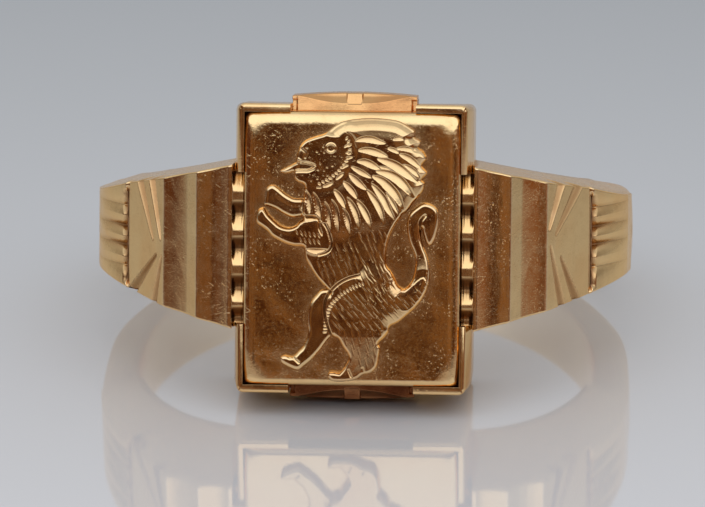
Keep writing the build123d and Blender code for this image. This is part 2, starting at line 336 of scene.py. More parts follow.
GOLD = (0.93, 0.66, 0.335)
ROSE = (0.90, 0.59, 0.28)
# parts given cavity_shade get painted shade in their hollows and gaps, mixed toward their dark colour
mat_shank = gold("gold_hoop", GOLD, ROSE, (0.10, 0.20), scratch=1.0, wave=0.8, pits=0.5)
mat_shoulder = gold("gold_shoulder", GOLD, ROSE, (0.10, 0.20), scratch=1.0, wave=0.8, pits=1.0, cavity_shade=0.92, edge=0.25, dark=(0.27, 0.105, 0.036), fine=1.7)
mat_head = gold("gold_head", GOLD, ROSE, (0.18, 0.30), scratch=1.2, wave=0.7, pits=0.4)
mat_frame = gold("gold_frame", GOLD, ROSE, (0.10, 0.18), scratch=0.9, wave=0.8, pits=0.4, fine=1.0, cavity_shade=0.92, dark=(0.09, 0.03, 0.012))
# painted light: the top gallery is set darker and more orange than the other gold as painted warm bounce light between
# plate and rim; the bottom gallery is a still darker copy, painted shade for the block under the plate
mat_gallery = gold("gold_gallery", (0.76, 0.43, 0.18), (0.70, 0.35, 0.14), (0.13, 0.24), scratch=1.0, wave=0.9, pits=0.5, grain_axis=(5, 70, 70))
mat_gallery_shaded = gold("gold_gallery_shaded", (0.46, 0.21, 0.09), (0.22, 0.08, 0.035), (0.14, 0.28), scratch=1.0, wave=1.6, pits=0.5, grain_axis=(5, 70, 70))
mat_rail = gold("gold_rail", (0.92, 0.59, 0.26), ROSE, (0.15, 0.24), scratch=0.5, wave=0.5, pits=0.2, cavity_shade=0.94, edge=0.1, dark=(0.17, 0.065, 0.02), grain_axis=(42, 42, 3))
mat_plate = gold("gold_plate", GOLD, ROSE, (0.07, 0.15), scratch=1.2, wave=1.6, pits=1.0, near=True, fine=1.5, cavity_shade=0.92, dark=(0.07, 0.022, 0.008))
mat_lion = gold("gold_lion", (0.86, 0.60, 0.30), (0.82, 0.52, 0.25), (0.08, 0.15), scratch=0.7, wave=0.4, pits=0.0, cavity_shade=0.75, edge=0.12, fine=0.7)


# ------------------------------------------------------------------ lion outlines, plate coordinates in mm
LION = {
    "head": [(-2.033, 3.216), (-2.022, 3.484), (-1.960, 3.685), (-1.868, 3.869), (-1.729, 4.012), (-1.557, 4.096), (-1.337, 4.173), (-0.989, 4.290), (-0.788, 4.437), (-0.568, 4.602), (-0.238, 4.730), (0.311, 4.400), (0.458, 3.667), (0.311, 3.007), (-0.055, 2.494), (-0.421, 2.017), (-0.971, 1.907), (-1.447, 2.017), (-1.711, 2.164), (-1.751, 2.398), (-1.985, 2.494), (-2.117, 2.655), (-2.081, 2.904), (-1.777, 2.941), (-1.593, 2.948), (-1.381, 3.073), (-1.648, 3.176), (-1.923, 3.198)],
    "mane": [(-0.824, 4.29), (-0.641, 4.54), (-0.238, 4.738), (0.238, 4.818), (0.751, 4.848), (1.52, 4.785), (1.777, 4.712), (2.033, 4.569), (2.275, 4.378), (2.275, 4.166), (2.502, 3.997), (2.399, 3.806), (2.604, 3.667), (2.729, 3.41), (2.56, 3.146), (2.758, 2.879), (2.553, 2.622), (2.663, 2.512), (2.63, 2.281), (2.425, 1.973), (2.245, 1.768), (2.033, 1.467), (1.886, 1.357), (1.74, 1.21), (1.593, 1.1), (1.41, 0.935), (1.154, 0.862), (0.714, 0.788), (0.275, 0.752), (-0.092, 0.587), (-0.495, 0.623), (-0.751, 0.568), (-0.989, 0.587), (-1.117, 0.807), (-1.172, 1.173), (-1.41, 1.247), (-1.703, 1.302), (-1.755, 1.834), (-1.729, 2.211), (-1.557, 2.347), (-1.154, 2.292), (-0.678, 2.494), (-0.275, 2.86), (-0.055, 3.3), (-0.055, 3.667), (-0.275, 3.997)],
    "torso": [(-1.74, 1.65), (-1.74, 0.733), (-1.729, 0.11), (-1.681, -0.293), (-1.505, -0.623), (-1.249, -1.005), (-0.897, -1.386), (-0.568, -1.687), (0.018, -1.834), (0.861, -1.54), (1.484, -1.1), (1.502, -0.788), (1.322, -0.55), (1.286, -0.293), (1.293, 0.0), (1.399, 0.513), (1.652, 1.027), (1.85, 1.357), (1.593, 1.834), (0.311, 2.017), (-0.971, 1.944)],
    "thigh": [(1.19, -0.532), (0.824, -0.678), (0.311, -0.917), (-0.055, -1.027), (-0.311, -1.155), (-0.531, -1.32), (-0.714, -1.522), (-0.879, -1.823), (-0.923, -2.222), (-0.828, -2.688), (-0.626, -3.146), (-0.465, -3.216), (-0.297, -3.495), (-0.044, -3.916), (-0.128, -4.14), (-0.267, -4.378), (-0.403, -4.503), (-0.604, -4.488), (-0.766, -4.496), (-0.828, -4.62), (-0.689, -4.793), (-0.348, -4.826), (0.011, -4.793), (0.293, -4.694), (0.432, -4.584), (0.788, -4.466), (0.985, -4.239), (1.07, -3.821), (1.099, -3.557), (1.037, -3.407), (1.227, -3.201), (1.407, -2.97), (1.462, -2.758), (1.736, -2.615), (2.015, -2.384), (2.381, -2.054), (2.63, -1.687), (2.788, -1.294), (2.656, -0.953), (2.216, -1.265), (1.978, -1.386), (1.758, -1.283), (1.612, -0.99), (1.465, -0.733)],
    "farleg": [(-1.081, -1.467), (-1.264, -1.65), (-1.436, -1.87), (-1.557, -2.222), (-1.582, -2.688), (-1.557, -3.044), (-1.667, -3.392), (-1.762, -3.594), (-1.894, -3.726), (-2.117, -3.931), (-2.418, -3.894), (-2.568, -3.971), (-2.538, -4.14), (-2.315, -4.287), (-2.007, -4.408), (-1.879, -4.4), (-1.725, -4.279), (-1.388, -3.997), (-1.117, -3.693), (-0.751, -3.223), (-0.495, -3.08), (-0.568, -2.494), (-0.641, -1.834), (-0.788, -1.467)],
    "tail": [(1.703, -1.54), (1.996, -1.357), (2.198, -1.137), (2.3, -0.829), (2.341, -0.513), (2.333, -0.22), (2.253, 0.018), (2.154, 0.235), (2.077, 0.513), (2.04, 0.807), (2.059, 1.192), (2.172, 1.43), (2.381, 1.621), (2.63, 1.768), (2.912, 1.724), (3.125, 1.555), (3.198, 1.283), (3.19, 1.027), (3.139, 0.752), (3.051, 0.462), (2.93, 0.264), (2.813, 0.227), (2.722, 0.359), (2.663, 0.532), (2.612, 0.697), (2.579, 0.851), (2.542, 0.697), (2.56, 0.462), (2.667, 0.128), (2.766, -0.11), (2.842, -0.348), (2.886, -0.623), (2.886, -0.88), (2.857, -1.166), (2.714, -1.577), (2.436, -1.962), (1.96, -2.2), (1.593, -1.944)],
    "upaw": [(-2.897, 2.365), (-2.685, 2.244), (-2.546, 2.127), (-2.381, 2.006), (-2.125, 1.881), (-1.799, 1.87), (-1.52, 1.87), (-1.227, 1.724), (-1.081, 1.393), (-1.447, 1.269), (-1.886, 1.21), (-2.172, 1.184), (-2.498, 1.313), (-2.78, 1.478), (-3.04, 1.577), (-3.198, 1.635), (-3.183, 1.907), (-3.154, 2.164), (-3.059, 2.31)],
    "lpaw": [(-3.212, 1.529), (-3.121, 1.412), (-3.037, 1.287), (-2.802, 1.056), (-2.568, 0.88), (-2.267, 0.821), (-2.051, 0.898), (-1.905, 1.045), (-1.667, 1.144), (-1.227, 1.155), (-0.971, 0.917), (-0.824, 0.587), (-0.751, 0.22), (-0.835, 0.018), (-1.081, -0.103), (-1.374, -0.139), (-1.582, -0.051), (-1.747, 0.117), (-2.033, 0.132), (-2.311, 0.191), (-2.685, 0.352), (-2.919, 0.495), (-3.106, 0.704), (-3.315, 0.851), (-3.48, 0.975), (-3.513, 1.173), (-3.462, 1.382), (-3.363, 1.511)],
    "tongue": [(-1.136, 3.058), (-1.484, 3.242), (-1.886, 3.278), (-2.070, 3.198), (-2.253, 3.095), (-2.473, 2.978), (-2.637, 2.875), (-2.509, 2.802), (-2.326, 2.802), (-2.179, 2.846), (-1.996, 2.838), (-1.777, 2.846), (-1.410, 2.875)],
}
GOUGES = [
    ([(0.11, 4.015), (0.385, 4.096), (0.714, 4.092), (1.007, 4.012), (1.264, 3.96)], 0.227),
    ([(0.22, 3.678), (0.531, 3.693), (0.897, 3.612), (1.355, 3.447)], 0.234),
    ([(0.183, 3.282), (0.458, 3.271), (0.788, 3.135), (1.081, 2.97)], 0.227),
    ([(0.916, 3.392), (1.3, 3.282), (1.667, 3.099), (2.07, 2.805), (2.418, 2.53)], 0.3),
    ([(0.879, 2.934), (1.337, 2.842), (1.703, 2.64), (1.996, 2.347), (2.216, 2.09), (2.381, 1.925)], 0.315),
    ([(0.733, 2.769), (1.081, 2.604), (1.41, 2.31), (1.667, 1.999), (1.923, 1.522)], 0.308),
    ([(-0.037, 3.099), (0.238, 2.952), (0.476, 2.824), (0.751, 2.677)], 0.161),
    ([(-0.11, 2.842), (0.128, 2.622), (0.348, 2.42), (0.586, 2.237)], 0.205),
    ([(0.549, 2.274), (0.751, 2.017), (0.952, 1.724), (1.099, 1.393), (1.209, 0.99)], 0.227),
    ([(0.714, 2.494), (0.934, 2.237), (1.172, 1.907), (1.355, 1.54), (1.612, 1.137)], 0.242),
    ([(-0.311, 2.549), (-0.11, 2.347), (0.073, 2.127), (0.22, 1.889)], 0.205),
    ([(0.183, 1.907), (0.385, 1.613), (0.549, 1.32), (0.659, 1.063), (0.733, 0.825)], 0.22),
    ([(-0.165, 1.98), (0.018, 1.687), (0.183, 1.32), (0.304, 0.788)], 0.212),
    ([(-0.641, 2.255), (-0.495, 2.054), (-0.33, 1.797), (-0.22, 1.54)], 0.205),
    ([(-0.319, 1.577), (-0.201, 1.32), (-0.11, 0.99), (-0.048, 0.605)], 0.198),
    ([(-0.733, 1.889), (-0.604, 1.577), (-0.531, 1.173), (-0.473, 0.642)], 0.22),
    ([(-0.978, 1.815), (-0.879, 1.503), (-0.813, 1.1), (-0.777, 0.605)], 0.205),
    ([(-1.41, 2.145), (-1.282, 1.834), (-1.205, 1.467), (-1.139, 0.953)], 0.227),
    ([(-1.685, 2.219), (-1.593, 1.944), (-1.546, 1.613), (-1.546, 1.338)], 0.198),
    ([(1.612, 3.759), (1.923, 3.777), (2.179, 3.711), (2.418, 3.594)], 0.154),
    ([(1.722, 3.575), (2.033, 3.447), (2.289, 3.264), (2.546, 3.044)], 0.205),
    ([(1.502, 4.089), (1.685, 4.151), (1.886, 4.089)], 0.147),
    ([(1.85, 3.19), (2.106, 3.062), (2.363, 2.86), (2.564, 2.659)], 0.168),
    ([(1.3, 3.777), (1.52, 3.722), (1.74, 3.594)], 0.132),
    ([(-0.22, 3.355), (-0.073, 3.41), (0.055, 3.447)], 0.11),
    ([(-0.293, 3.777), (-0.147, 3.869), (0.018, 3.902)], 0.117),
    ([(-0.238, 3.564), (-0.092, 3.616), (0.037, 3.63)], 0.095),
    ([(-0.385, 3.025), (-0.238, 3.099), (-0.092, 3.154)], 0.103),
    ([(-1.062, 2.329), (-0.861, 2.402), (-0.641, 2.512)], 0.11),
    ([(-0.568, 2.604), (-0.421, 2.75), (-0.256, 2.879)], 0.11),
    ([(1.245, 2.182), (1.447, 1.87), (1.612, 1.577), (1.74, 1.32)], 0.132),
    ([(0.971, 3.099), (1.264, 3.036), (1.557, 2.89)], 0.103),
]
# ------------------------------------------------------------------ lion relief
LION_STEP = 0.0200


def seg_distance(px, py, poly):
    """Signed distance to a closed outline, positive inside."""
    best = np.full(px.shape, 1e9)
    inside = np.zeros(px.shape, bool)
    n = len(poly)
    for i in range(n):
        ax, ay = poly[i]
        bx, by = poly[(i + 1) % n]
        dx, dy = bx - ax, by - ay
        l2 = dx * dx + dy * dy
        if l2 < 1e-12:
            continue
        t = np.clip(((px - ax) * dx + (py - ay) * dy) / l2, 0, 1)
        q = (px - ax - t * dx) ** 2 + (py - ay - t * dy) ** 2
        np.minimum(best, q, out=best)
        cross = (ay > py) != (by > py)
        if dy != 0:
            inside ^= cross & (px < ax + (py - ay) / dy * dx)
    d = np.sqrt(best)
    return np.where(inside, d, -d)


def windowed_distance(X, Z, outline, pad):
    """Signed distance inside the outline's own window, -9 elsewhere."""
    lo, hi = outline.min(0) - pad, outline.max(0) + pad
    out = np.full(X.shape, -9.0)
    ii = np.where((X[:, 0] >= lo[0]) & (X[:, 0] <= hi[0]))[0]
    jj = np.where((Z[0] >= lo[1]) & (Z[0] <= hi[1]))[0]
    if len(ii) and len(jj):
        s = np.ix_(ii, jj)
        out[s] = seg_distance(X[s], Z[s], outline)
    return out


def stroke_field(X, Z, line, pad):
    """For points near an open line: distance along it 0..1, signed side distance (left +), mask window."""
    lo, hi = line.min(0) - pad, line.max(0) + pad
    ii = np.where((X[:, 0] >= lo[0]) & (X[:, 0] <= hi[0]))[0]
    jj = np.where((Z[0] >= lo[1]) & (Z[0] <= hi[1]))[0]
    if not len(ii) or not len(jj):
        return None
    s = np.ix_(ii, jj)
    px, pz = X[s], Z[s]
    seg = np.linalg.norm(np.diff(line, axis=0), axis=1)
    acc = np.concatenate([[0], np.cumsum(seg)])
    best = np.full(px.shape, 1e9)
    along = np.zeros(px.shape)
    side = np.zeros(px.shape)
    for k in range(len(line) - 1):
        ax, ay = line[k]
        dx, dy = line[k + 1] - line[k]
        l2 = dx * dx + dy * dy
        t = np.clip(((px - ax) * dx + (pz - ay) * dy) / l2, 0, 1)
        ex, ey = px - ax - t * dx, pz - ay - t * dy
        q = ex * ex + ey * ey
        m = q < best
        best = np.where(m, q, best)
        along = np.where(m, (acc[k] + t * seg[k]) / acc[-1], along)
        side = np.where(m, np.sqrt(q) * np.sign(dx * ey - dy * ex), side)
    return s, along, side


def px_to_mm(x, y):
    return np.array([(x - 351.5) / 27.3, (250.0 - y) / 27.27])


def build_lion():
    xs = np.arange(-3.64, 3.32, LION_STEP)
    zs = np.arange(-4.92, 4.92, LION_STEP)
    X, Z = np.meshgrid(xs, zs, indexing="ij")
    order = ["farleg", "upaw", "tongue", "torso", "tail", "lpaw", "head", "thigh", "mane"]
    outline = {k: catmull(LION[k], 5) for k in order}
    dist = {k: windowed_distance(X, Z, outline[k], 0.9) for k in order}
    union = np.max(np.stack([dist[k] for k in order]), 0)

    def layer(base, name, top, width):
        """Raises the ground to top inside the outline; width is how softly the step is drawn."""
        d = dist[name]
        s = smoothstep(0.0, 1.0, (d + 0.5 * width) / width)
        return base * (1 - s) + top * s

    ground = np.full(X.shape, 0.27)
    ground = np.where(dist["tail"] > 0, 0.36 + 0.05 * smoothstep(-0.85, 0.0, dist["thigh"]), ground)
    ground = layer(ground, "torso", 0.405, 0.16)
    ground = np.where(dist["tongue"] > 0, 0.25 + 0.11 * smoothstep(-2.3, -1.9, X), ground)
    ground = layer(ground, "head", 0.43, np.where(dist["tongue"] > -0.12, 0.07, 0.12))
    ground = layer(ground, "mane", 0.43, np.where((X < -1.05) & (Z < 2.35), 0.10, 0.7))
    ground = ground + 0.04 * smoothstep(0.1, 0.8, dist["mane"]) * smoothstep(1.0, 2.6, Z)
    ground = layer(ground, "lpaw", 0.44, np.where(X > -1.15, 0.09, 0.2))
    # the near thigh stands proud along its front edge and melts into the rump behind
    ground = layer(ground, "thigh", 0.455, 0.075 + 0.9 * smoothstep(0.1, 0.75, X) * smoothstep(-3.6, -2.2, Z))
    ground = np.where((dist["tail"] > 0) & (dist["thigh"] < 0.0), np.minimum(ground, 0.40), ground)
    # both feet flatten a little toward the toes
    ground = np.minimum(ground, 0.355 + 0.115 * smoothstep(-4.72, -2.7, Z))
    # the ground just outside a crisp edge is cut back
    for name, where in (("thigh", X < 0.35), ("lpaw", (X > -1.2) & (Z < 1.0)), ("mane", (X < -1.05) & (Z < 2.3))):
        d = dist[name]
        ground = ground - 0.075 * np.clip(1 + d / 0.09, 0, 1) * (d <= 0) * where
    edge_r = np.full(X.shape, 0.11)
    crown = smoothstep(3.3, 4.1, Z) * smoothstep(-0.15, 0.1, dist["mane"])
    edge_r = edge_r + 0.34 * crown
    limbs = (np.maximum(dist["upaw"], np.maximum(dist["lpaw"], dist["farleg"])) > 0) & (dist["mane"] < 0) & (dist["torso"] < 0)
    edge_r = np.where(limbs, 0.14, edge_r)
    edge_r = np.where((dist["tail"] > 0) & (dist["thigh"] < -0.1), 0.13, edge_r)
    t = np.clip(union / edge_r, 0, 1)
    wall = 0.50 - 0.14 * crown
    rise = (1 - crown) * np.sqrt(np.clip(1 - (1 - t) ** 2, 0, 1)) + crown * (1 - (1 - t) ** 2)
    h = ground * (wall + (1 - wall) * rise)
    h = h + 0.016 * value_noise(X, Z, 1.1, 5) * smoothstep(0.1, 0.5, union)
    # shoulder and haunch muscles swell a little
    for cx, cz, rx, rz, a in ((0.9, -1.9, 0.9, 0.8, 0.03), (0.1, 1.0, 0.9, 0.9, 0.02), (-0.6, 3.1, 0.6, 0.5, 0.025), (0.15, -0.2, 0.8, 0.7, 0.02)):
        h = h + a * np.exp(-((X - cx) / rx) ** 2 - ((Z - cz) / rz) ** 2) * smoothstep(0.05, 0.4, union)
    low = np.zeros(X.shape)

    # deep locks of the mane: cut with a graver, one side steep, one side a long bright facet
    facets = [([(-2.12, 1.10), (-1.6, 1.17), (-1.08, 1.24)], 0.22), ([(-1.66, 0.03), (-1.2, -0.03), (-0.76, 0.02)], 0.20)]
    for pts, width in GOUGES + facets:
        line = catmull(pts, 6, closed=False)
        if np.hypot(*(line[-1] - line[0])) < 0.36:
            width = 0.55 * width
        f = stroke_field(X, Z, line, width)
        if f is None:
            continue
        s, t, side = f
        half = 0.5 * width * np.clip(np.sin(np.pi * np.clip(t, 0.0, 1.0)), 0, 1) ** 0.62 + 1e-4
        d = line[-1] - line[0]
        up = 1.0 if d[0] >= 0 else -1.0       # which side looks up
        u = side * up / half
        cut = np.where(np.abs(u) < 1, 1.0, 0.0)
        tooth = np.where(u > 0.55, (1 - u) / 0.45, (u + 1) / 1.55)
        steep = abs(d[1]) / (abs(d[0]) + abs(d[1]))
        lean = 0.55 + (0.9 + 0.5 * steep) * (1 - t) ** 1.0        # deeper where the tool went in, running out at the tip
        depth = 0.085 * (width / 0.24) ** 0.7 * lean * (0.18 + 0.82 * np.clip(tooth, 0, 1)) * np.clip(half / (0.5 * width), 0, 1) ** 1.3
        low[s] = np.maximum(low[s], cut * depth)
    h = h - low

    # hair: short strokes of a fine graver
    hair = np.zeros(X.shape)

    def stroke(p, q, width, depth):
        f = stroke_field(X, Z, np.array([p, 0.5 * (p + q) + rng.normal(0, 0.006, 2), q]), 0.08)
        if f is None:
            return
        s, t, side = f
        env = np.clip(np.sin(np.pi * np.clip(t, 0.02, 0.98)), 0, 1) ** 0.5
        v = np.clip(1 - np.abs(side) / (0.5 * width * (0.4 + 0.6 * env)), 0, 1) * env
        hair[s] = np.maximum(hair[s], depth * v)

    for row, y in enumerate(np.arange(222, 305, 9.5)):
        for x in np.arange(303 + (row % 2) * 3.3, 398, 6.6):
            p = px_to_mm(x + rng.normal(0, 0.9), y + rng.normal(0, 1.3))
            v = np.array([0.42, -0.91]) * (13.0 + rng.normal(0, 1.8)) / 27.3
            i = int(round((p[0] - xs[0]) / LION_STEP))
            j = int(round((p[1] - zs[0]) / LION_STEP))
            if 0 <= i < len(xs) and 0 <= j < len(zs) and dist["torso"][i, j] > 0.05 and dist["mane"][i, j] < -0.02 and (dist["thigh"][i, j] < -0.05 or p[0] > 0.5) and dist["lpaw"][i, j] < -0.06:
                stroke(p, p + v, 0.044, 0.0155)
    for y in np.arange(274, 358, 9.0):
        for x in np.arange(318, 425, 7.0):
            p = px_to_mm(x + rng.normal(0, 0.8), y + rng.normal(0, 1.2))
            v = np.array([0.65, -0.76]) * (13.0 + rng.normal(0, 1.5)) / 27.3
            i = int(round((p[0] - xs[0]) / LION_STEP))
            j = int(round((p[1] - zs[0]) / LION_STEP))
            if 0 <= i < len(xs) and 0 <= j < len(zs) and dist["thigh"][i, j] > 0.07:
                if y > 325:
                    v = np.array([0.2, -0.98]) * 12.0 / 27.3
                stroke(p, p + v, 0.042, 0.0125)
    # ticks set across an edge: the tail's root, the back, the front of the thigh
    for path, gap, inward, reach in (([(392, 255), (389, 243), (390, 231), (396, 219), (402, 209)], 3.6, 1, 0.17),
                                     ([(388, 276), (396, 284), (404, 286), (411, 281), (416, 273)], 3.4, -1, 0.17),
                                     ([(323, 336), (325, 318), (330, 303), (341, 292), (355, 283), (366, 279)], 3.6, 1, 0.16)):
        line = catmull([px_to_mm(*p) for p in path], 8, closed=False)
        pts, ss = resample(line, gap / 27.3)
        for k in range(1, len(pts) - 1):
            d = pts[k + 1] - pts[k - 1]
            d /= np.linalg.norm(d)
            nrm = np.array([-d[1], d[0]]) * inward
            a = pts[k] - nrm * 0.02
            stroke(a, a - nrm * reach + d * 0.03, 0.055, 0.026)
    # the tuft at the tail's tip is split by a short slit
    f = stroke_field(X, Z, catmull([px_to_mm(*p) for p in [(421, 233), (420, 226), (421, 219), (425, 214)]], 6, closed=False), 0.2)
    s, t, side = f
    h[s] = h[s] - 0.13 * np.exp(-(side / 0.04) ** 2) * np.clip(np.sin(np.pi * np.clip(t, 0.03, 0.97)), 0, 1) ** 0.5
    # edge of the cheek: a row of short dashes from the ear round under the jaw
    line = catmull([px_to_mm(*p) for p in [(344, 134), (349, 143), (349, 153), (344, 164), (336, 173), (326, 180), (316, 185)]], 8, closed=False)
    pts, ss = resample(line, 0.15)
    for k in range(1, len(pts) - 1):
        d = pts[k + 1] - pts[k - 1]
        d /= np.linalg.norm(d)
        nrm = np.array([-d[1], d[0]])
        stroke(pts[k] + nrm * 0.05 - d * 0.02, pts[k] - nrm * 0.06 + d * 0.03, 0.07, 0.035)
    # head: short marks on muzzle and cheek
    for k in range(22):
        x, y = rng.uniform(304, 345), rng.uniform(143, 190)
        p = px_to_mm(x, y)
        i = int(round((p[0] - xs[0]) / LION_STEP))
        j = int(round((p[1] - zs[0]) / LION_STEP))
        if dist["head"][i, j] > 0.1 and dist["mane"][i, j] < -0.03 and np.hypot(p[0] + 0.769, p[1] - 3.755) > 0.3:
            stroke(p, p + np.array([0.09, -0.035]) + rng.normal(0, 0.012, 2), 0.040, 0.012)
    marks = [(290 + 4.6 * k, 197.5 + 1.0 * k, 0) for k in range(4)] + [(296 + 4.4 * k, 229.5 + 0.6 * k, 1) for k in range(6)] + [(300 + 4.4 * k, 237 + 0.5 * k, 1) for k in range(5)]
    for x, y, low_arm in marks:
        p = px_to_mm(x, y)
        i = int(round((p[0] - xs[0]) / LION_STEP))
        j = int(round((p[1] - zs[0]) / LION_STEP))
        if max(dist["upaw"][i, j], dist["lpaw"][i, j]) > 0.08 and dist["mane"][i, j] < -0.03:
            stroke(p, p + np.array([0.10, -0.20]) + rng.normal(0, 0.015, 2), 0.045, 0.020)
    h = h - hair

    # eye: raised lid ring around a sunk ball
    ex, ez = -0.769, 3.755
    rr = np.hypot(X - ex, (Z - ez) * 1.05)
    ring = np.exp(-((rr - 0.172) / 0.026) ** 2) * 0.020
    sunk = -0.008 * np.clip(1 - (rr / 0.14) ** 2, 0, 1)
    ball = 0.004 * np.sqrt(np.clip(1 - ((np.hypot(X - ex, Z - ez + 0.01)) / 0.075) ** 2, 0, 1))
    h = h + np.where(dist["head"] > 0, ring + sunk + ball, 0)

    # mouth line with a lip above it, nostril
    f = stroke_field(X, Z, catmull([px_to_mm(*p) for p in [(297, 161), (300, 163), (304, 165), (307, 166)]], 6, closed=False), 0.25)
    s, t, side = f
    h[s] = h[s] - 0.03 * np.exp(-(side / 0.030) ** 2) * (dist["head"][s] > 0) + 0.012 * np.exp(-((side - 0.085) / 0.045) ** 2) * (dist["head"][s] > 0)
    f = stroke_field(X, Z, catmull([px_to_mm(*p) for p in [(302, 149), (306, 153), (305, 157)]], 6, closed=False), 0.2)
    s, t, side = f
    h[s] = h[s] - 0.012 * np.exp(-(side / 0.05) ** 2)

    # claws and toes on the paws
    for a, b in (((284, 352), (291, 359)), ((292, 356), (300, 363)), ((336, 368), (341, 374)), ((350, 370), (353, 377)), ((364, 368), (366, 375))):
        f = stroke_field(X, Z, np.array([px_to_mm(*a), 0.5 * (px_to_mm(*a) + px_to_mm(*b)), px_to_mm(*b)]), 0.2)
        s, t, side = f
        h[s] = h[s] - 0.03 * np.exp(-(side / 0.035) ** 2)

    # cupped palm of the lower paw
    px, pz = px_to_mm(284.5, 220.5)
    u = (X - px) * math.cos(0.26) - (Z - pz) * math.sin(0.26)
    w = (X - px) * math.sin(0.26) + (Z - pz) * math.cos(0.26)
    q = np.hypot(u / 0.33, w / 0.14)
    h = h - 0.11 * np.clip(1 - q ** 3, 0, 1)

    h = np.maximum(h, 0.05)
    h = np.minimum(h, 0.499)
    h = np.minimum(h, 0.374 + (4.775 + Z) * ZAX[1] / ZAX[2])

    # keep the cells inside the silhouette
    inside = union > -0.45 * LION_STEP
    cell = inside[:-1, :-1] & inside[1:, :-1] & inside[1:, 1:] & inside[:-1, 1:]
    for _ in range(6):
        a, b, c, d = cell[:-1, :-1], cell[1:, :-1], cell[1:, 1:], cell[:-1, 1:]
        bad1 = a & c & ~b & ~d
        bad2 = b & d & ~a & ~c
        if not bad1.any() and not bad2.any():
            break
        cell[1:, :-1] |= bad1
        cell[:-1, :-1] |= bad2
    # drop specks
    used = np.zeros(X.shape, bool)
    used[:-1, :-1] |= cell
    used[1:, :-1] |= cell
    used[1:, 1:] |= cell
    used[:-1, 1:] |= cell
    full = np.ones(X.shape, bool)
    full[1:-1, 1:-1] = cell[:-1, :-1] & cell[1:, :-1] & cell[1:, 1:] & cell[:-1, 1:]
    full[0, :] = full[-1, :] = False
    full[:, 0] = full[:, -1] = False
    border = used & ~full
    gx = np.gradient(union, LION_STEP, axis=0)
    gz = np.gradient(union, LION_STEP, axis=1)
    gn = np.maximum(np.hypot(gx, gz), 0.3)
    PX, PZ = X.copy(), Z.copy()
    mv = np.clip(union, -1.2 * LION_STEP, 1.2 * LION_STEP)
    PX[border] -= (mv * gx / gn ** 2)[border]
    PZ[border] -= (mv * gz / gn ** 2)[border]
    h[border] = np.minimum(h[border], 0.35)

    # painted shade: cav darkens the hollows of the relief (gouges, hair, mouth) and its foot where it meets the plate;
    # edge marks the raised tops
    soft_h = blur2(h, 4.0)
    cav = np.clip((soft_h - h) / 0.05, 0, 1)
    cav[border] = 0.6
    edge = np.clip((h - soft_h - 0.006) / 0.03, 0, 1)

    index = -np.ones(X.shape, int)
    index[used] = np.arange(used.sum())
    pts = np.stack([PX[used], -FACE - h[used], PZ[used]], 1)
    ci, cj = np.where(cell)
    quads = np.stack([index[ci, cj], index[ci + 1, cj], index[ci + 1, cj + 1], index[ci, cj + 1]], 1)
    # wall: edges used once
    e = np.concatenate([quads[:, [0, 1]], quads[:, [1, 2]], quads[:, [2, 3]], quads[:, [3, 0]]])
    key = np.sort(e, 1)
    _, first, count = np.unique(key[:, 0].astype(np.int64) * 10 ** 7 + key[:, 1], return_index=True, return_counts=True)
    rim = e[first[count == 1]]
    ring_ids = np.unique(rim)
    low_id = {v: len(pts) + k for k, v in enumerate(ring_ids)}
    mid_id = {v: len(pts) + len(ring_ids) + k for k, v in enumerate(ring_ids)}
    base_pts = pts[ring_ids].copy()
    base_pts[:, 1] = -FACE + 0.10
    mid_pts = pts[ring_ids].copy()
    mid_pts[:, 1] = -FACE - 0.005
    pts = np.concatenate([pts, base_pts, mid_pts])
    walls = []
    nxt = {}
    for a, b in rim:
        walls.append((b, a, mid_id[a], mid_id[b]))
        walls.append((mid_id[b], mid_id[a], low_id[a], low_id[b]))
        nxt[a] = b
    loops = []
    left = set(nxt)
    while left:
        a = left.pop()
        loop = [a]
        b = nxt[a]
        while b in left:
            left.discard(b)
            loop.append(b)
            b = nxt[b]
        loops.append(loop)
    loops = [l for l in loops if len(l) > 8]
    flat = [v for l in loops for v in l]
    tris = tessellate_polygon([[Vector((pts[v][0], pts[v][2], 0)) for v in l] for l in loops])
    bottom = [(low_id[flat[a]], low_id[flat[b]], low_id[flat[c]]) for a, b, c in tris]
    faces = [tuple(q) for q in quads] + walls + bottom
    # wall and base vertices get painted shade 0.7
    extra = np.full(2 * len(ring_ids), 0.7)
    cav_v = np.concatenate([cav[used], extra])
    edge_v = np.concatenate([edge[used], extra * 0])
    obj = make_piece("lion", pts, faces, "lion_relief", mat_lion, {"cav": cav_v, "edge": edge_v})
    return obj, X, Z, union


lion, LX, LZ, LION_UNION = build_lion()


# ------------------------------------------------------------------ face plate
def rounded_rect(a, b, r, per_corner=22, per_side=60):
    out = []
    for cx, cz, t0 in ((a - r, b - r, 0), (-(a - r), b - r, 90), (-(a - r), -(b - r), 180), (a - r, -(b - r), 270)):
        for k in range(per_corner):
            t = math.radians(t0 + 90 * k / (per_corner - 1))
            out.append((cx + r * math.cos(t), cz + r * math.sin(t)))
        nx = {0: (-(a - r), b), 90: (-a, -(b - r)), 180: (a - r, -b), 270: (a, b - r)}[t0]
        last = out[-1]
        for k in range(1, per_side):
            f = k / per_side
            out.append((last[0] + (nx[0] - last[0]) * f, last[1] + (nx[1] - last[1]) * f))
    return np.array(out)


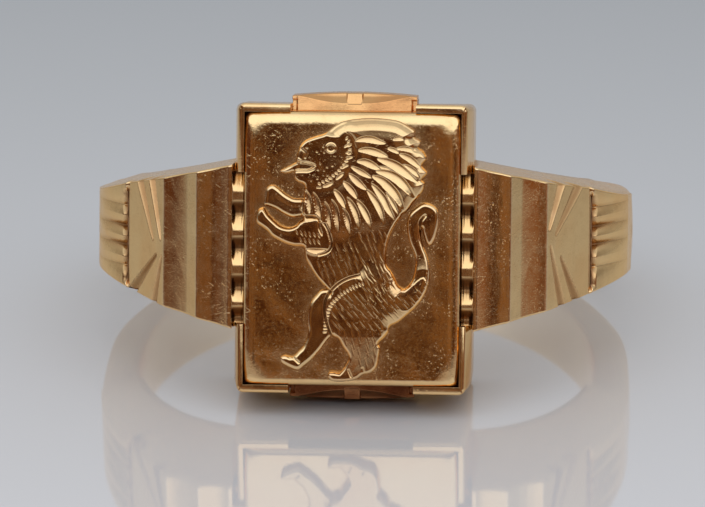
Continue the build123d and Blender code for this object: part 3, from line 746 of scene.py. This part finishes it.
def build_plate():
    A, B, R = 3.972, 5.022, 0.20
    base = rounded_rect(A, B, R)
    n = len(base)
    corner = smoothstep(0.78, 0.97, np.minimum(np.abs(base[:, 0]) / A, 1) * np.minimum(np.abs(base[:, 1]) / B, 1))
    rings, depth = [], []
    reach, drop = 0.46, 0.24

    def ring(inset):
        # corners get rounder inward, and the foot of the plate rolls over quicker than its head
        p = rounded_rect(A - inset, B - inset, R + 0.8 * inset)
        z = p[:, 1]
        foot = np.where(z + B < reach, -B + 0.55 * (z + B), z * (B - 0.55 * reach) / (B - reach))
        p[:, 1] = np.where(z < 0, foot, z)
        return p

    rings.append(ring(0.0)), depth.append(np.full(n, 1.0))
    rings.append(ring(0.0)), depth.append(np.full(n, 0.6))
    for k in range(19):
        t = math.radians(90 * k / 18)
        inset = reach * (1 - math.cos(t))
        rings.append(ring(inset))
        depth.append(np.full(n, drop * (1 - math.sin(t))))
    inner = ring(reach)
    # soft shoulder after the rounded edge, then a very slight dome to the middle
    for s in np.concatenate([np.linspace(0.995, 0.9, 14), np.linspace(0.88, 0.02, 46)]):
        rings.append(inner * s)
        depth.append(np.zeros(n))
    P = np.array(rings)
    D = np.array(depth)
    m = ((np.abs(P[..., 0]) / A) ** 7 + (np.abs(P[..., 1]) / B) ** 7) ** (1 / 7)
    dome = 0.035 * m ** 4 + 0.012 * m ** 2
    corner = np.clip((np.abs(P[..., 0]) / A * np.abs(P[..., 1]) / B - 0.70) / 0.30, 0, 1)
    dome = dome + 0.17 * corner ** 2
    dome = dome * (D < 0.5)
    wav = 0.014 * value_noise(P[..., 0], P[..., 1], 0.42, 9) + 0.0045 * value_noise(P[..., 0], P[..., 1], 1.2, 12)
    D = D + (dome + wav + 0.02) * (D < 0.5)
    pts = np.stack([P[..., 0], -FACE + D, P[..., 1]], -1).reshape(-1, 3)
    faces = [tuple(q) for q in grid_faces(len(rings), n, wrap=True)]
    faces.append(tuple(range(n))[::-1])
    last = (len(rings) - 1) * n
    faces.append(tuple(last + k for k in range(n)))
    # how close each point is to the relief
    gi = np.clip(((pts[:, 0] - LX[0, 0]) / LION_STEP).astype(int), 0, LX.shape[0] - 1)
    gj = np.clip(((pts[:, 2] - LZ[0, 0]) / LION_STEP).astype(int), 0, LX.shape[1] - 1)
    d = LION_UNION[gi, gj]
    near = np.exp(-np.clip(-d, 0, None) / 0.30)
    near = np.where(pts[:, 1] > -FACE + 0.2, 0, near)
    # painted shade: the rolled edge of the plate is darkened where it dips into the gap under the frame
    gap_shade = smoothstep(0.22, 0.34, pts[:, 1] + FACE)
    return make_piece("plate", pts, faces, "face_plate", mat_plate, {"near": near, "cav": gap_shade})


plate = build_plate()


# ------------------------------------------------------------------ pieces softened from their CAD solids
def soften(name, source, material, width, segments=3, angle=30, crest=None):
    src = frame["nodes"][source]
    mesh = src.data.copy()
    mesh.name = name
    mesh.materials.clear()
    bm = bmesh.new()
    bm.from_mesh(mesh)
    bmesh.ops.remove_doubles(bm, verts=bm.verts, dist=2e-6)
    bmesh.ops.dissolve_limit(bm, angle_limit=math.radians(1.5), verts=bm.verts, edges=bm.edges, delimit={"NORMAL"})
    if crest:
        picked = []
        for e in bm.edges:
            p = unplace([tuple(v.co) for v in e.verts])
            if all(abs(q[1] + FACE - 0.16) < 0.02 and (abs(q[0]) > 4.12 or abs(q[2]) > 5.28) for q in p):
                picked.append(e)
        bmesh.ops.bevel(bm, geom=picked, offset=crest * 0.001, segments=5, affect="EDGES", profile=0.5)
    bm.to_mesh(mesh)
    bm.free()
    co = unplace([tuple(v.co) for v in mesh.vertices])
    # painted shade: vertices on the inner walls around the plate are darkened where they sit deep in the gap, only a
    # little near the front
    wall = (np.abs(co[:, 0]) < 3.99) & (np.abs(co[:, 2]) < 5.04)
    gap_shade = np.where(wall, np.where(co[:, 1] + FACE < 0.3, 0.10, 1.0), 0.0)
    mesh.attributes.new("cav", "FLOAT", "POINT").data.foreach_set("value", gap_shade.astype(np.float32))
    mesh.polygons.foreach_set("use_smooth", [True] * len(mesh.polygons))
    obj = bpy.data.objects.new(name, mesh)
    bpy.context.scene.collection.objects.link(obj)
    mesh.materials.append(material)
    mod = obj.modifiers.new("edges", "BEVEL")
    mod.width = width * 0.001
    mod.segments = segments
    mod.limit_method = "ANGLE"
    mod.angle_limit = math.radians(angle)
    mod.harden_normals = True
    mod.miter_outer = "MITER_ARC"
    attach(obj, "root")
    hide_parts(source)
    return obj


soften("bezel", "bezel_frame", mat_frame, 0.045, 4, 30, 0.13)
soften("head", "head_base", mat_head, 0.05)


# ------------------------------------------------------------------ galleries
def build_gallery(name, source, sz):
    """A block between plate and rim, bowed outward, its front edge cut with two leaf-shaped scoops either side of a lozenge."""
    xs = np.linspace(-2.30, 2.30, 185)
    vs = np.linspace(0.0, 1.0, 46)
    z0, d0, d1 = 5.035, 1.36, 3.40
    X, V = np.meshgrid(xs, vs, indexing="ij")
    z1 = 5.56 + 0.11 * (1 - (X / 2.30) ** 2)
    Zc = z0 + (z1 - z0) * V
    ax = np.abs(X)
    lean = 0.17 if sz > 0 else 0.04
    D = d0 + lean * (Zc - z0)
    # lower edge of the scoop runs from the top corner down toward the lozenge
    run = np.clip((2.12 - ax) / (2.12 - 0.27), 0, 1)
    zc = z1 - 0.36 * np.sin(0.5 * math.pi * run) ** 1.1
    s = np.clip((Zc - zc) / np.maximum(z1 - zc, 1e-3), 0, 1)
    scoop = 0.34 * (1 - (1 - s) ** 2) * run ** 0.5 * smoothstep(0.26, 0.31, ax)
    D = D + scoop
    # the lozenge leans back a little and comes to a blunt point
    loz = (1 - smoothstep(0.24, 0.28, ax)) * smoothstep(z0 + 0.20, z0 + 0.26, Zc)
    D = D + loz * (0.05 + 0.10 * (Zc - z0 - 0.3))
    # ends step back under the flange
    ends = smoothstep(2.10, 2.15, ax)
    D = D + 0.22 * ends * (1 - smoothstep(0.72, 0.78, V)) + 0.03 * ends
    D = D + 0.010 * value_noise(X, Zc, 2.2, 61 if sz > 0 else 62) + 0.03 * smoothstep(0.93, 1.0, V) ** 2
    top = np.stack([X, -FACE + D, sz * Zc], -1)
    n, m = X.shape
    pts = top.reshape(-1, 3)
    faces = [tuple(q) for q in grid_faces(n, m)]
    border = [(i, 0) for i in range(n)] + [(n - 1, j) for j in range(1, m)] + [(i, m - 1) for i in range(n - 2, -1, -1)] + [(0, j) for j in range(m - 2, 0, -1)]
    ids = [i * m + j for i, j in border]
    rows = [ids]
    for f in (0.12, 0.45, 0.78, 1.0):
        low = pts[ids].copy()
        low[:, 1] = low[:, 1] * (1 - f) + (-FACE + d1) * f
        if f == 1.0:
            low[:, 2] = np.sign(low[:, 2]) * np.maximum(np.abs(low[:, 2]) - 0.34 * (np.abs(low[:, 2]) > 5.4), 5.035)
        rows.append([len(pts) + k for k in range(len(ids))])
        pts = np.concatenate([pts, low])
    k = len(ids)
    for a_row, b_row in zip(rows[:-1], rows[1:]):
        for a in range(k):
            c = (a + 1) % k
            faces.append((a_row[a], a_row[c], b_row[c], b_row[a]))
    faces.append(tuple(rows[-1]))
    # the lower gallery takes the darker painted-shade copy of the gallery gold
    return make_piece(name, pts, faces, source, mat_gallery if sz > 0 else mat_gallery_shaded)


build_gallery("gallery_top", "gallery_north", 1)
build_gallery("gallery_bottom", "gallery_south", -1)


# ------------------------------------------------------------------ notched rails
def build_rail(name, source, sx):
    notches = [(3.20, 2.70, 2.05), (1.72, 1.24, 0.62), (0.40, -0.08, -0.68), (-1.00, -1.50, -2.02), (-2.18, -2.60, -3.05)]
    strand = 0.010 * value_noise(np.linspace(0, 6, 34), np.full(34, 3.3), 2.0, 51 if sx < 0 else 52)
    zs = np.linspace(2.80, -2.80, 300)
    us = np.linspace(0, 1, 34)
    x0, x1 = 3.98, 4.46
    d0, d1 = 0.66, 1.70
    prof = np.zeros(len(zs))
    for lip, floor, foot in notches:
        m = (zs <= lip) & (zs > floor)
        prof = np.where(m, np.maximum(prof, 0.34 * smoothstep(lip, floor, zs) ** 0.8), prof)
        m = (zs <= floor) & (zs >= foot)
        prof = np.where(m, np.maximum(prof, 0.34 * (1 - (floor - zs) / (floor - foot)) ** 1.35), prof)
    prof = gauss1(prof, 2.2)
    rows = []
    cav = []
    for i, z in enumerate(zs):
        row = []
        for u in us:
            x = x0 + (x1 - x0) * u
            # the notch is deepest toward the frame and closes in a ball end at the outside
            fade = np.sqrt(np.clip(1 - np.clip((u - 0.62) / 0.36, 0, 1) ** 2, 0, 1))
            d = d0 + prof[i] * (fade + strand[int(round(u * 33))] * 3.0) + 0.05 * np.clip((0.12 - u) / 0.12, 0, 1) ** 2 + 0.05 * np.clip((u - 0.9) / 0.1, 0, 1) ** 2
            row.append((sx * x, -FACE + d, z))
        rows.append(row)
    top = np.array(rows)
    n, m = len(zs), len(us)
    pts = top.reshape(-1, 3)
    faces = [tuple(q) for q in grid_faces(n, m)]
    border = [(i, 0) for i in range(n)] + [(n - 1, j) for j in range(1, m)] + [(i, m - 1) for i in range(n - 2, -1, -1)] + [(0, j) for j in range(m - 2, 0, -1)]
    ids = [i * m + j for i, j in border]
    low = pts[ids].copy()
    low[:, 1] = -FACE + d1
    base = len(pts)
    pts = np.concatenate([pts, low])
    k = len(ids)
    for a in range(k):
        b = (a + 1) % k
        faces.append((ids[a], ids[b], base + b, base + a))
    faces.append(tuple(base + a for a in range(k)))
    H = -top[..., 1]
    blur = blur2(H, 5.0)
    # painted shadow: the notch hollows and the steep wall under each lip are darkened, and the base edge vertices get
    # 0.6
    under = np.zeros(len(zs))
    for lip, floor, foot in notches:
        under = np.maximum(under, smoothstep(lip + 0.02, lip - 0.05, zs) * smoothstep(floor - 0.10, floor - 0.02, zs))
    cavity_shade = np.maximum(np.clip((blur - H) / 0.09, 0, 1), gauss1(under, 2.0)[:, None])
    cv = np.concatenate([cavity_shade.reshape(-1), np.full(k, 0.6)])
    ed = np.concatenate([np.clip((H - blur - 0.01) / 0.05, 0, 1).reshape(-1), np.zeros(k)])
    return make_piece(name, pts, faces, source, mat_rail, {"cav": cv, "edge": ed})


build_rail("rail_left_cut", "rail_left", -1)
build_rail("rail_right_cut", "rail_right", 1)


# ------------------------------------------------------------------ shoulders
def arc3(p, q, r, n=16):
    """Arc from p through q to r."""
    ax, ay = p
    bx, by = q
    cx, cy = r
    d = 2 * (ax * (by - cy) + bx * (cy - ay) + cx * (ay - by))
    ux = ((ax * ax + ay * ay) * (by - cy) + (bx * bx + by * by) * (cy - ay) + (cx * cx + cy * cy) * (ay - by)) / d
    uy = ((ax * ax + ay * ay) * (cx - bx) + (bx * bx + by * by) * (ax - cx) + (cx * cx + cy * cy) * (bx - ax)) / d
    rad = math.hypot(ax - ux, ay - uy)
    a0 = math.atan2(ay - uy, ax - ux)
    a1 = math.atan2(by - uy, bx - ux)
    a2 = math.atan2(cy - uy, cx - ux)

    def wrap(a, ref):
        while a - ref > math.pi:
            a -= 2 * math.pi
        while a - ref < -math.pi:
            a += 2 * math.pi
        return a
    a1 = wrap(a1, a0)
    a2 = wrap(a2, a1)
    return [(ux + rad * math.cos(a0 + (a2 - a0) * k / n), uy + rad * math.sin(a0 + (a2 - a0) * k / n)) for k in range(n + 1)]


def half_width(x):
    return np.interp(np.abs(x), [4.0, 4.60, 7.30, 8.80, 10.10, 10.33], [3.14, 3.00, 2.38, 2.00, 1.57, 1.50])


def build_shoulder(name, source, sx, vee, flutes):
    prof = [(4.46, 0.72), (4.58, 0.72)]
    prof += arc3((4.58, 0.72), (5.20, 1.09), (5.80, 1.22), 24)[1:]
    prof += [(6.19, 1.82)]
    prof += arc3((6.19, 1.82), (6.66, 2.19), (7.13, 2.45), 24)[1:]
    prof += [(7.42, 2.95), (8.70, 5.60), (8.66, 5.80), (8.86, 5.80)]
    prof += arc3((8.86, 5.80), (9.73, 7.60), (10.19, 9.30), 24)[1:]
    prof += [(10.33, 10.5)]
    line, s = resample(prof, 0.034)
    line = np.stack([gauss1(line[:, 0], 1.1), gauss1(line[:, 1], 1.1)], 1)
    line[0], line[-1] = prof[0], prof[-1]
    line[:, 1] = np.maximum(line[:, 1], 0.72)
    tan = np.gradient(line, axis=0)
    tan /= np.linalg.norm(tan, axis=1)[:, None]
    nrm = np.stack([tan[:, 1], -tan[:, 0]], 1)          # away from the finger, toward the face
    X0 = line[:, 0]
    W = half_width(X0)
    nz = 168
    v = np.linspace(-1, 1, nz)
    v = np.sign(v) * (1 - (1 - np.abs(v)) ** 1.12)      # closer together near the edges
    Zg = W[:, None] * v[None, :]
    Sg = np.repeat(X0[:, None], nz, 1)                   # |X| on the surface, used to place the cuts
    depth = np.zeros_like(Zg)
    # painted shade: cavity_shade darkens the graver cuts, the upright groove, the flute valleys and the recess at the
    # lobes' root
    cavity_shade = np.zeros_like(Zg)
    onfacet = (X0 > 7.15) & (X0 < 8.72) & (line[:, 1] > 2.3)

    # four graver cuts that fan over the long facet
    for (xa, za), (xb, zb), wide in vee:
        a, b = np.array([xa, za]), np.array([xb, zb])
        scale = 1 / 0.447                                # |X| to length along the facet
        dx, dz = (b[0] - a[0]) * scale, b[1] - a[1]
        l2 = dx * dx + dz * dz
        px, pz = (Sg - a[0]) * scale, Zg - a[1]
        t = np.clip((px * dx + pz * dz) / l2, -0.2, 1)
        e = np.hypot(px - t * dx, pz - t * dz)
        w = 0.5 * (wide * (1 - np.clip(t, 0, 1)) ** 0.8 + 0.16)
        c = np.clip(1 - (e / w) ** 2.2, 0, 1)
        dd = (0.26 if za > 0 else 0.36) * (0.4 + 0.6 * (1 - np.clip(t, 0, 1))) * c
        dd = dd * onfacet[:, None]
        depth = np.maximum(depth, dd)
        # painted shade inside each cut, with a darker painted band along its sides
        rim = np.clip(1 - np.abs(e / w - 0.85) / 0.35, 0, 1)
        cavity_shade = np.maximum(cavity_shade, (0.56 * np.clip(c * 1.6, 0, 1) + 0.42 * rim) * onfacet[:, None])
    # the upright groove behind the facet
    g = np.exp(-((Sg - 8.78) / 0.055) ** 2) * smoothstep(1.95, 1.75, np.abs(Zg + 0.05))
    depth += 0.10 * g
    cavity_shade = np.maximum(cavity_shade, g)
    # flutes running out toward the hoop: sharp valleys between full lobes
    run = np.clip((10.18 - Sg) / (10.18 - 8.9), 0, 1) * smoothstep(8.86, 8.94, Sg)
    valley = np.zeros_like(Zg)
    for zc, amount, width in flutes:
        bow = zc + 0.10 * (1 - run)                   # the valleys drift up toward the hoop
        valley = np.maximum(valley, amount * np.exp(-(np.abs(Zg - bow) / (width * 1.15)) ** 1.15))
    depth += 0.34 * valley * run ** 0.7
    cavity_shade = np.maximum(cavity_shade, np.clip(valley * 1.7 - 0.55, 0, 1) * run ** 0.6)
    # scalloped recess at the root of the lobes
    root = 8.90 + 0.05 + 0.22 * np.clip(valley * 1.1, 0, 1)
    rec = smoothstep(0.0, 1.0, (root - Sg) / 0.13 + 0.5) * (Sg > 8.76) * smoothstep(1.82, 1.62, np.abs(Zg + 0.05))
    depth += 0.12 * rec
    cavity_shade = np.maximum(cavity_shade, rec)
    # treads and risers carry the marks of hand finishing
    depth += 0.007 * value_noise(Sg * 1.6, Zg * 0.9, 1.5, 21 if sx < 0 else 22)
    depth += 0.0035 * value_noise(Sg * 3.0, Zg * 0.7, 3.1, 23)
    # edge rounding toward the two side walls
    r = 0.07
    over = np.clip(np.abs(Zg) - (W[:, None] - r), 0, r)
    depth += r - np.sqrt(np.clip(r * r - over * over, 0, None))
    depth = np.maximum(depth, 0)
    depth[0] = 0
    PX = X0[:, None] - nrm[:, 0:1] * depth
    PD = line[:, 1:2] - nrm[:, 1:2] * depth
    PX = np.maximum(PX, 4.46)
    outer = np.stack([sx * PX, -FACE + PD, Zg], -1)

    # inner side of the solid, matched sample for sample
    inner = [(4.46, 0.735), (4.46, 1.70), (4.40, 1.70), (4.40, FACE - math.sqrt(R_IN ** 2 - 4.4 ** 2))]
    a0, a1 = math.acos(4.4 / R_IN), math.asin(2.5 / R_IN)
    for k in range(1, 41):
        t = a0 + (a1 - a0) * k / 40
        inner.append((R_IN * math.cos(t), FACE - R_IN * math.sin(t)))
    inn = np.array(inner)
    seg = np.concatenate([[0], np.cumsum(np.linalg.norm(np.diff(inn, axis=0), axis=1))])
    q = np.linspace(0, seg[-1], len(line))
    inn = np.stack([np.interp(q, seg, inn[:, 0]), np.interp(q, seg, inn[:, 1])], 1)

    ns = len(line)
    side = 7
    cols_r, cols_l = [], []
    for k in range(1, side + 1):
        f = k / side
        f = f ** 1.3
        px = PX[:, -1] * (1 - f) + inn[:, 0] * f
        pd = PD[:, -1] * (1 - f) + inn[:, 1] * f
        cols_r.append(np.stack([sx * px, -FACE + pd, half_width(px) * 1.0], -1))
        px = PX[:, 0] * (1 - f) + inn[:, 0] * f
        pd = PD[:, 0] * (1 - f) + inn[:, 1] * f
        cols_l.append(np.stack([sx * px, -FACE + pd, -half_width(px) * 1.0], -1))
    right_ = np.stack(cols_r, 1)
    left_ = np.stack(cols_l[::-1], 1)
    nin = 10
    under = []
    for k in range(1, nin):
        f = k / nin
        under.append(right_[:, -1] * (1 - f) + left_[:, 0] * f)
    under = np.stack(under, 1)
    loop = np.concatenate([outer, right_, under, left_], 1)      # closed ring of points per sample
    n_loop = loop.shape[1]
    pts = loop.reshape(-1, 3)
    faces = [tuple(f) for f in grid_faces(ns, n_loop, wrap=True)]
    faces.append(tuple(range(n_loop)))
    faces.append(tuple((ns - 1) * n_loop + k for k in range(n_loop)))
    cav = np.zeros((ns, n_loop))
    cav[:, :nz] = cavity_shade
    curv = np.zeros((ns, n_loop))
    # convex lips catch wear
    ang = np.arctan2(tan[:, 1], tan[:, 0])
    bend = np.gradient(ang) / 0.034
    curv[:, :nz] = np.clip(bend / 3.0, 0, 1)[:, None]
    return make_piece(name, pts, faces, source, mat_shoulder, {"cav": cav.reshape(-1), "edge": curv.reshape(-1)})


build_shoulder("shoulder_left_carved", "shoulder_left", -1,
               [((8.22, 2.20), (7.60, 0.06), 0.46), ((7.66, 2.34), (7.26, 0.12), 0.48),
                ((8.58, -2.12), (7.46, -0.52), 0.42), ((7.56, -2.34), (7.22, -0.55), 0.42)],
               ((0.30, 1.0, 0.17), (-0.43, 1.0, 0.17), (1.10, 0.55, 0.18), (-1.18, 0.55, 0.18)))
build_shoulder("shoulder_right_carved", "shoulder_right", 1,
               [((8.31, 2.22), (7.47, 0.46), 0.46), ((7.66, 2.36), (7.22, 0.66), 0.46),
                ((8.25, -2.16), (7.66, -0.45), 0.40), ((7.72, -2.32), (7.28, 0.00), 0.38)],
               ((0.48, 1.0, 0.17), (-0.20, 1.0, 0.17), (1.22, 0.6, 0.18), (-1.02, 0.5, 0.18)))


# ------------------------------------------------------------------ hoop
def build_shank():
    half = [(10.33, -2.5), (10.40, -0.6), (9.98, 3.0), (7.33, 7.28), (3.9, 9.56), (0.0, 10.3)]
    full = half + [(-x, y) for x, y in half[-2::-1]]
    curve = catmull(full, 24, closed=False)
    line, s = resample(curve, 0.16)
    line[:, 0] = np.clip(line[:, 0], -10.396, 10.396)
    n = len(line)
    ang = np.arctan2(line[:, 1], line[:, 0])
    a_start = math.atan2(-2.5, math.sqrt(R_IN ** 2 - 6.25))
    # at the two ends the cut is square to Y
    inner = np.stack([R_IN * np.cos(ang), R_IN * np.sin(ang)], 1)
    blend = np.clip(np.minimum(np.arange(n), n - 1 - np.arange(n)) / 14.0, 0, 1)
    for i in range(n):
        if blend[i] < 1:
            y = line[i, 1]
            x = math.copysign(math.sqrt(max(R_IN ** 2 - y * y, 0)), line[i, 0])
            inner[i] = np.array([x, y]) * (1 - blend[i]) + inner[i] * blend[i]
            inner[i] *= R_IN / np.linalg.norm(inner[i])
    W = 1.50
    sec = []                                   # (z, fraction from inner 0 to outer 1, absolute drop from outer)
    ro, ri = 0.36, 0.14
    for z in np.linspace(-W + ri, W - ri, 13):
        sec.append((z, 0.0, None))
    for k in range(1, 7):
        t = math.radians(90 * k / 6)
        sec.append((W - ri + ri * math.sin(t), None, ("in", ri * (1 - math.cos(t)))))
    for f in (0.35, 0.55):
        sec.append((W, f, None))
    for k in range(0, 11):
        t = math.radians(90 * k / 10)
        sec.append((W - ro + ro * math.cos(t), None, ("out", ro * (1 - math.sin(t)) + 0.05)))
    for z in np.linspace(W - ro, -(W - ro), 25)[1:-1]:
        sec.append((z, None, ("out", 0.05 * (abs(z) / (W - ro)) ** 2)))
    for k in range(10, -1, -1):
        t = math.radians(90 * k / 10)
        sec.append((-(W - ro + ro * math.cos(t)), None, ("out", ro * (1 - math.sin(t)) + 0.05)))
    for f in (0.55, 0.35):
        sec.append((-W, f, None))
    for k in range(6, 0, -1):
        t = math.radians(90 * k / 6)
        sec.append((-(W - ri + ri * math.sin(t)), None, ("in", ri * (1 - math.cos(t)))))
    m = len(sec)
    pts = np.zeros((n, m, 3))
    for i in range(n):
        o, q = line[i], inner[i]
        d = o - q
        L = np.linalg.norm(d)
        d = d / L
        for j, (z, f, spec) in enumerate(sec):
            if spec is None:
                p = q + d * L * f
            elif spec[0] == "in":
                p = q + d * spec[1]
            else:
                p = q + d * (L - spec[1])
            pts[i, j] = (p[0], p[1], z)
    faces = [tuple(f) for f in grid_faces(n, m, wrap=True)]
    faces.append(tuple(range(m)))
    faces.append(tuple((n - 1) * m + k for k in range(m)))
    return make_piece("hoop", pts.reshape(-1, 3), faces, "shank", mat_shank)


build_shank()


# ------------------------------------------------------------------ floor
def build_floor():
    bm = bmesh.new()
    bmesh.ops.create_circle(bm, cap_ends=True, segments=96, radius=1.6)
    mesh = bpy.data.meshes.new("floor")
    bm.to_mesh(mesh)
    bm.free()
    obj = bpy.data.objects.new("floor", mesh)
    obj.location.z = -0.00002
    bpy.context.scene.collection.objects.link(obj)
    m = bpy.data.materials.new("floor_grey")
    m.use_nodes = True
    nt = m.node_tree
    b = nt.nodes["Principled BSDF"]
    tc = node(nt, "ShaderNodeTexCoord")
    nz = node(nt, "ShaderNodeTexNoise")
    nz.inputs["Scale"].default_value = 35.0
    nz.inputs["Detail"].default_value = 2.0
    nt.links.new(tc.outputs["Object"], nz.inputs["Vector"])
    mr = node(nt, "ShaderNodeMapRange")
    mr.inputs["To Min"].default_value = FLOOR_ROUGH - 0.01
    mr.inputs["To Max"].default_value = FLOOR_ROUGH + 0.02
    nt.links.new(nz.outputs["Fac"], mr.inputs["Value"])
    nt.links.new(mr.outputs["Result"], b.inputs["Roughness"])
    sep = node(nt, "ShaderNodeSeparateXYZ")
    nt.links.new(tc.outputs["Object"], sep.inputs["Vector"])
    # painted light: the floor's colour fades from pale near the ring to darker grey behind it, a painted falloff of
    # light
    ramp = node(nt, "ShaderNodeMapRange")
    ramp.inputs["From Min"].default_value = -0.03
    ramp.inputs["From Max"].default_value = 0.06
    nt.links.new(sep.outputs["Y"], ramp.inputs["Value"])
    mx = node(nt, "ShaderNodeMix", data_type="RGBA")
    mx.inputs[6].default_value = (*FLOOR_NEAR_LIT, 1)
    mx.inputs[7].default_value = (*FLOOR_FAR_SHADED, 1)
    nt.links.new(ramp.outputs["Result"], mx.inputs["Factor"])
    nt.links.new(mx.outputs[2], b.inputs["Base Color"])
    b.inputs["IOR"].default_value = 1.75
    mesh.materials.append(m)
    return obj


# pale painted-lit floor colour in front, darker painted-shade colour behind
FLOOR_NEAR_LIT = (0.74, 0.73, 0.735)
FLOOR_FAR_SHADED = (0.35, 0.37, 0.385)
FLOOR_ROUGH = 0.045
build_floor()


# ------------------------------------------------------------------ light
def build_world():
    world = bpy.data.worlds.new("studio")
    bpy.context.scene.world = world
    world.use_nodes = True
    nt = world.node_tree
    nt.nodes.clear()
    out = node(nt, "ShaderNodeOutputWorld")
    bg = node(nt, "ShaderNodeBackground")
    nt.links.new(bg.outputs["Background"], out.inputs["Surface"])
    tc = node(nt, "ShaderNodeTexCoord")
    sep = node(nt, "ShaderNodeSeparateXYZ")
    nt.links.new(tc.outputs["Generated"], sep.inputs["Vector"])

    def m(op, a, b=0.0):
        n = node(nt, "ShaderNodeMath", operation=op)
        for sock, v in ((n.inputs[0], a), (n.inputs[1], b)):
            if isinstance(v, (int, float)):
                sock.default_value = v
            else:
                nt.links.new(v, sock)
        return n.outputs[0]

    def step(v, a, b, lo=0.0, hi=1.0):
        n = node(nt, "ShaderNodeMapRange")
        n.interpolation_type = "SMOOTHSTEP"
        nt.links.new(v, n.inputs["Value"])
        n.inputs["From Min"].default_value = a
        n.inputs["From Max"].default_value = b
        n.inputs["To Min"].default_value = lo
        n.inputs["To Max"].default_value = hi
        return n.outputs["Result"]

    def mix(fac, a, b):
        n = node(nt, "ShaderNodeMix", data_type="RGBA")
        nt.links.new(fac, n.inputs["Factor"])
        for sock, v in ((n.inputs[6], a), (n.inputs[7], b)):
            if hasattr(v, "links"):
                nt.links.new(v, sock)
            else:
                sock.default_value = (*v, 1)
        return n.outputs[2]

    deg = 180 / math.pi
    el = m("MULTIPLY", m("ARCSINE", sep.outputs["Z"]), deg)
    az = m("MULTIPLY", m("ARCTAN2", sep.outputs["X"], m("MULTIPLY", sep.outputs["Y"], -1.0)), deg)
    aaz = m("ABSOLUTE", az)
    nz = node(nt, "ShaderNodeTexNoise")
    nz.inputs["Scale"].default_value = 6.0
    nz.inputs["Detail"].default_value = 2.0
    nt.links.new(tc.outputs["Generated"], nz.inputs["Vector"])
    cloud = step(nz.outputs["Fac"], 0.38, 0.64)
    # walls of the room: pale behind, fading darker toward the sides
    grey = mix(step(aaz, 110, 160), (0.225, 0.22, 0.215), (0.50, 0.505, 0.52))
    grey = mix(step(el, 6, 40), grey, (0.66, 0.68, 0.71))
    dark = mix(cloud, (0.045, 0.013, 0.004), (0.23, 0.115, 0.050))
    dark = mix(step(az, 35, 75, 0.0, 0.75), dark, (0.21, 0.080, 0.030))
    dark = mix(step(az, -35, -60, 0.0, 0.70), dark, (0.085, 0.026, 0.010))
    front = m("MULTIPLY", step(aaz, 90, 103, 1.0, 0.0), step(el, 12.2, 23.2, 1.0, 0.0))
    low = m("MULTIPLY", step(aaz, 82, 89), step(el, 2.5, 6, 1.0, 0.0))
    front = m("MULTIPLY", front, m("SUBTRACT", 1.0, low))
    colour = mix(front, grey, dark)
    lift = m("ADD", el, step(az, 18, 45, 0.0, 7.0))
    box = m("MULTIPLY", step(aaz, 62, 84, 1.0, 0.0), m("MULTIPLY", step(lift, 18.2, 27.2), step(el, 50, 86, 1.0, 0.5)))
    colour = mix(box, colour, (1.30, 1.34, 1.42))
    nt.links.new(colour, bg.inputs["Color"])
    bg.inputs["Strength"].default_value = 1.0
    return world


build_world()
scene = bpy.context.scene
scene.view_settings.view_transform = "Standard"
scene.view_settings.look = "None"
scene.view_settings.exposure = 0.0
scene.view_settings.gamma = 1.0


# ------------------------------------------------------------------ camera
CAM_AZ, CAM_EL, CAM_DIST, CAM_LENS = 2.65, 16.14, 0.190, 246.8
TARGET_PX = (351.5, 250.0)
cam_data = bpy.data.cameras.new("camera")
cam_data.lens = CAM_LENS
cam_data.sensor_width = 36.0
cam_data.clip_start = 0.005
cam_data.clip_end = 10.0
cam = bpy.data.objects.new("camera", cam_data)
scene.collection.objects.link(cam)
ca, ce = math.radians(CAM_AZ), math.radians(CAM_EL)
away = Vector((math.sin(ca) * math.cos(ce), -math.cos(ca) * math.cos(ce), math.sin(ce)))
cam.location = Vector(ORIGIN) + away * CAM_DIST
look = (-away).to_track_quat("-Z", "Y")
cam.rotation_mode = "QUATERNION"
cam.rotation_quaternion = look
centre = Vector(place([(0.0, -FACE, 0.0)])[0])
rel = look.inverted() @ (centre - cam.location)
fx = rel.x / -rel.z * CAM_LENS / 36.0
fy = rel.y / -rel.z * CAM_LENS / 36.0
cam_data.shift_x = fx - (TARGET_PX[0] / 705 - 0.5)
cam_data.shift_y = fy - (0.5 * 507 / 705 - TARGET_PX[1] / 705)
scene.camera = cam

bpy.context.view_layer.update()
low, high = [1e9] * 3, [-1e9] * 3
depsgraph = bpy.context.evaluated_depsgraph_get()
for o in bpy.data.objects:
    if o.type != "MESH" or "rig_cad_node" in o or o.name == "floor":
        continue
    ev = o.evaluated_get(depsgraph)
    co = np.zeros(len(ev.data.vertices) * 3, np.float32)
    ev.data.vertices.foreach_get("co", co)
    co = co.reshape(-1, 3)
    for k in range(3):
        low[k] = min(low[k], float(co[:, k].min()))
        high[k] = max(high[k], float(co[:, k].max()))
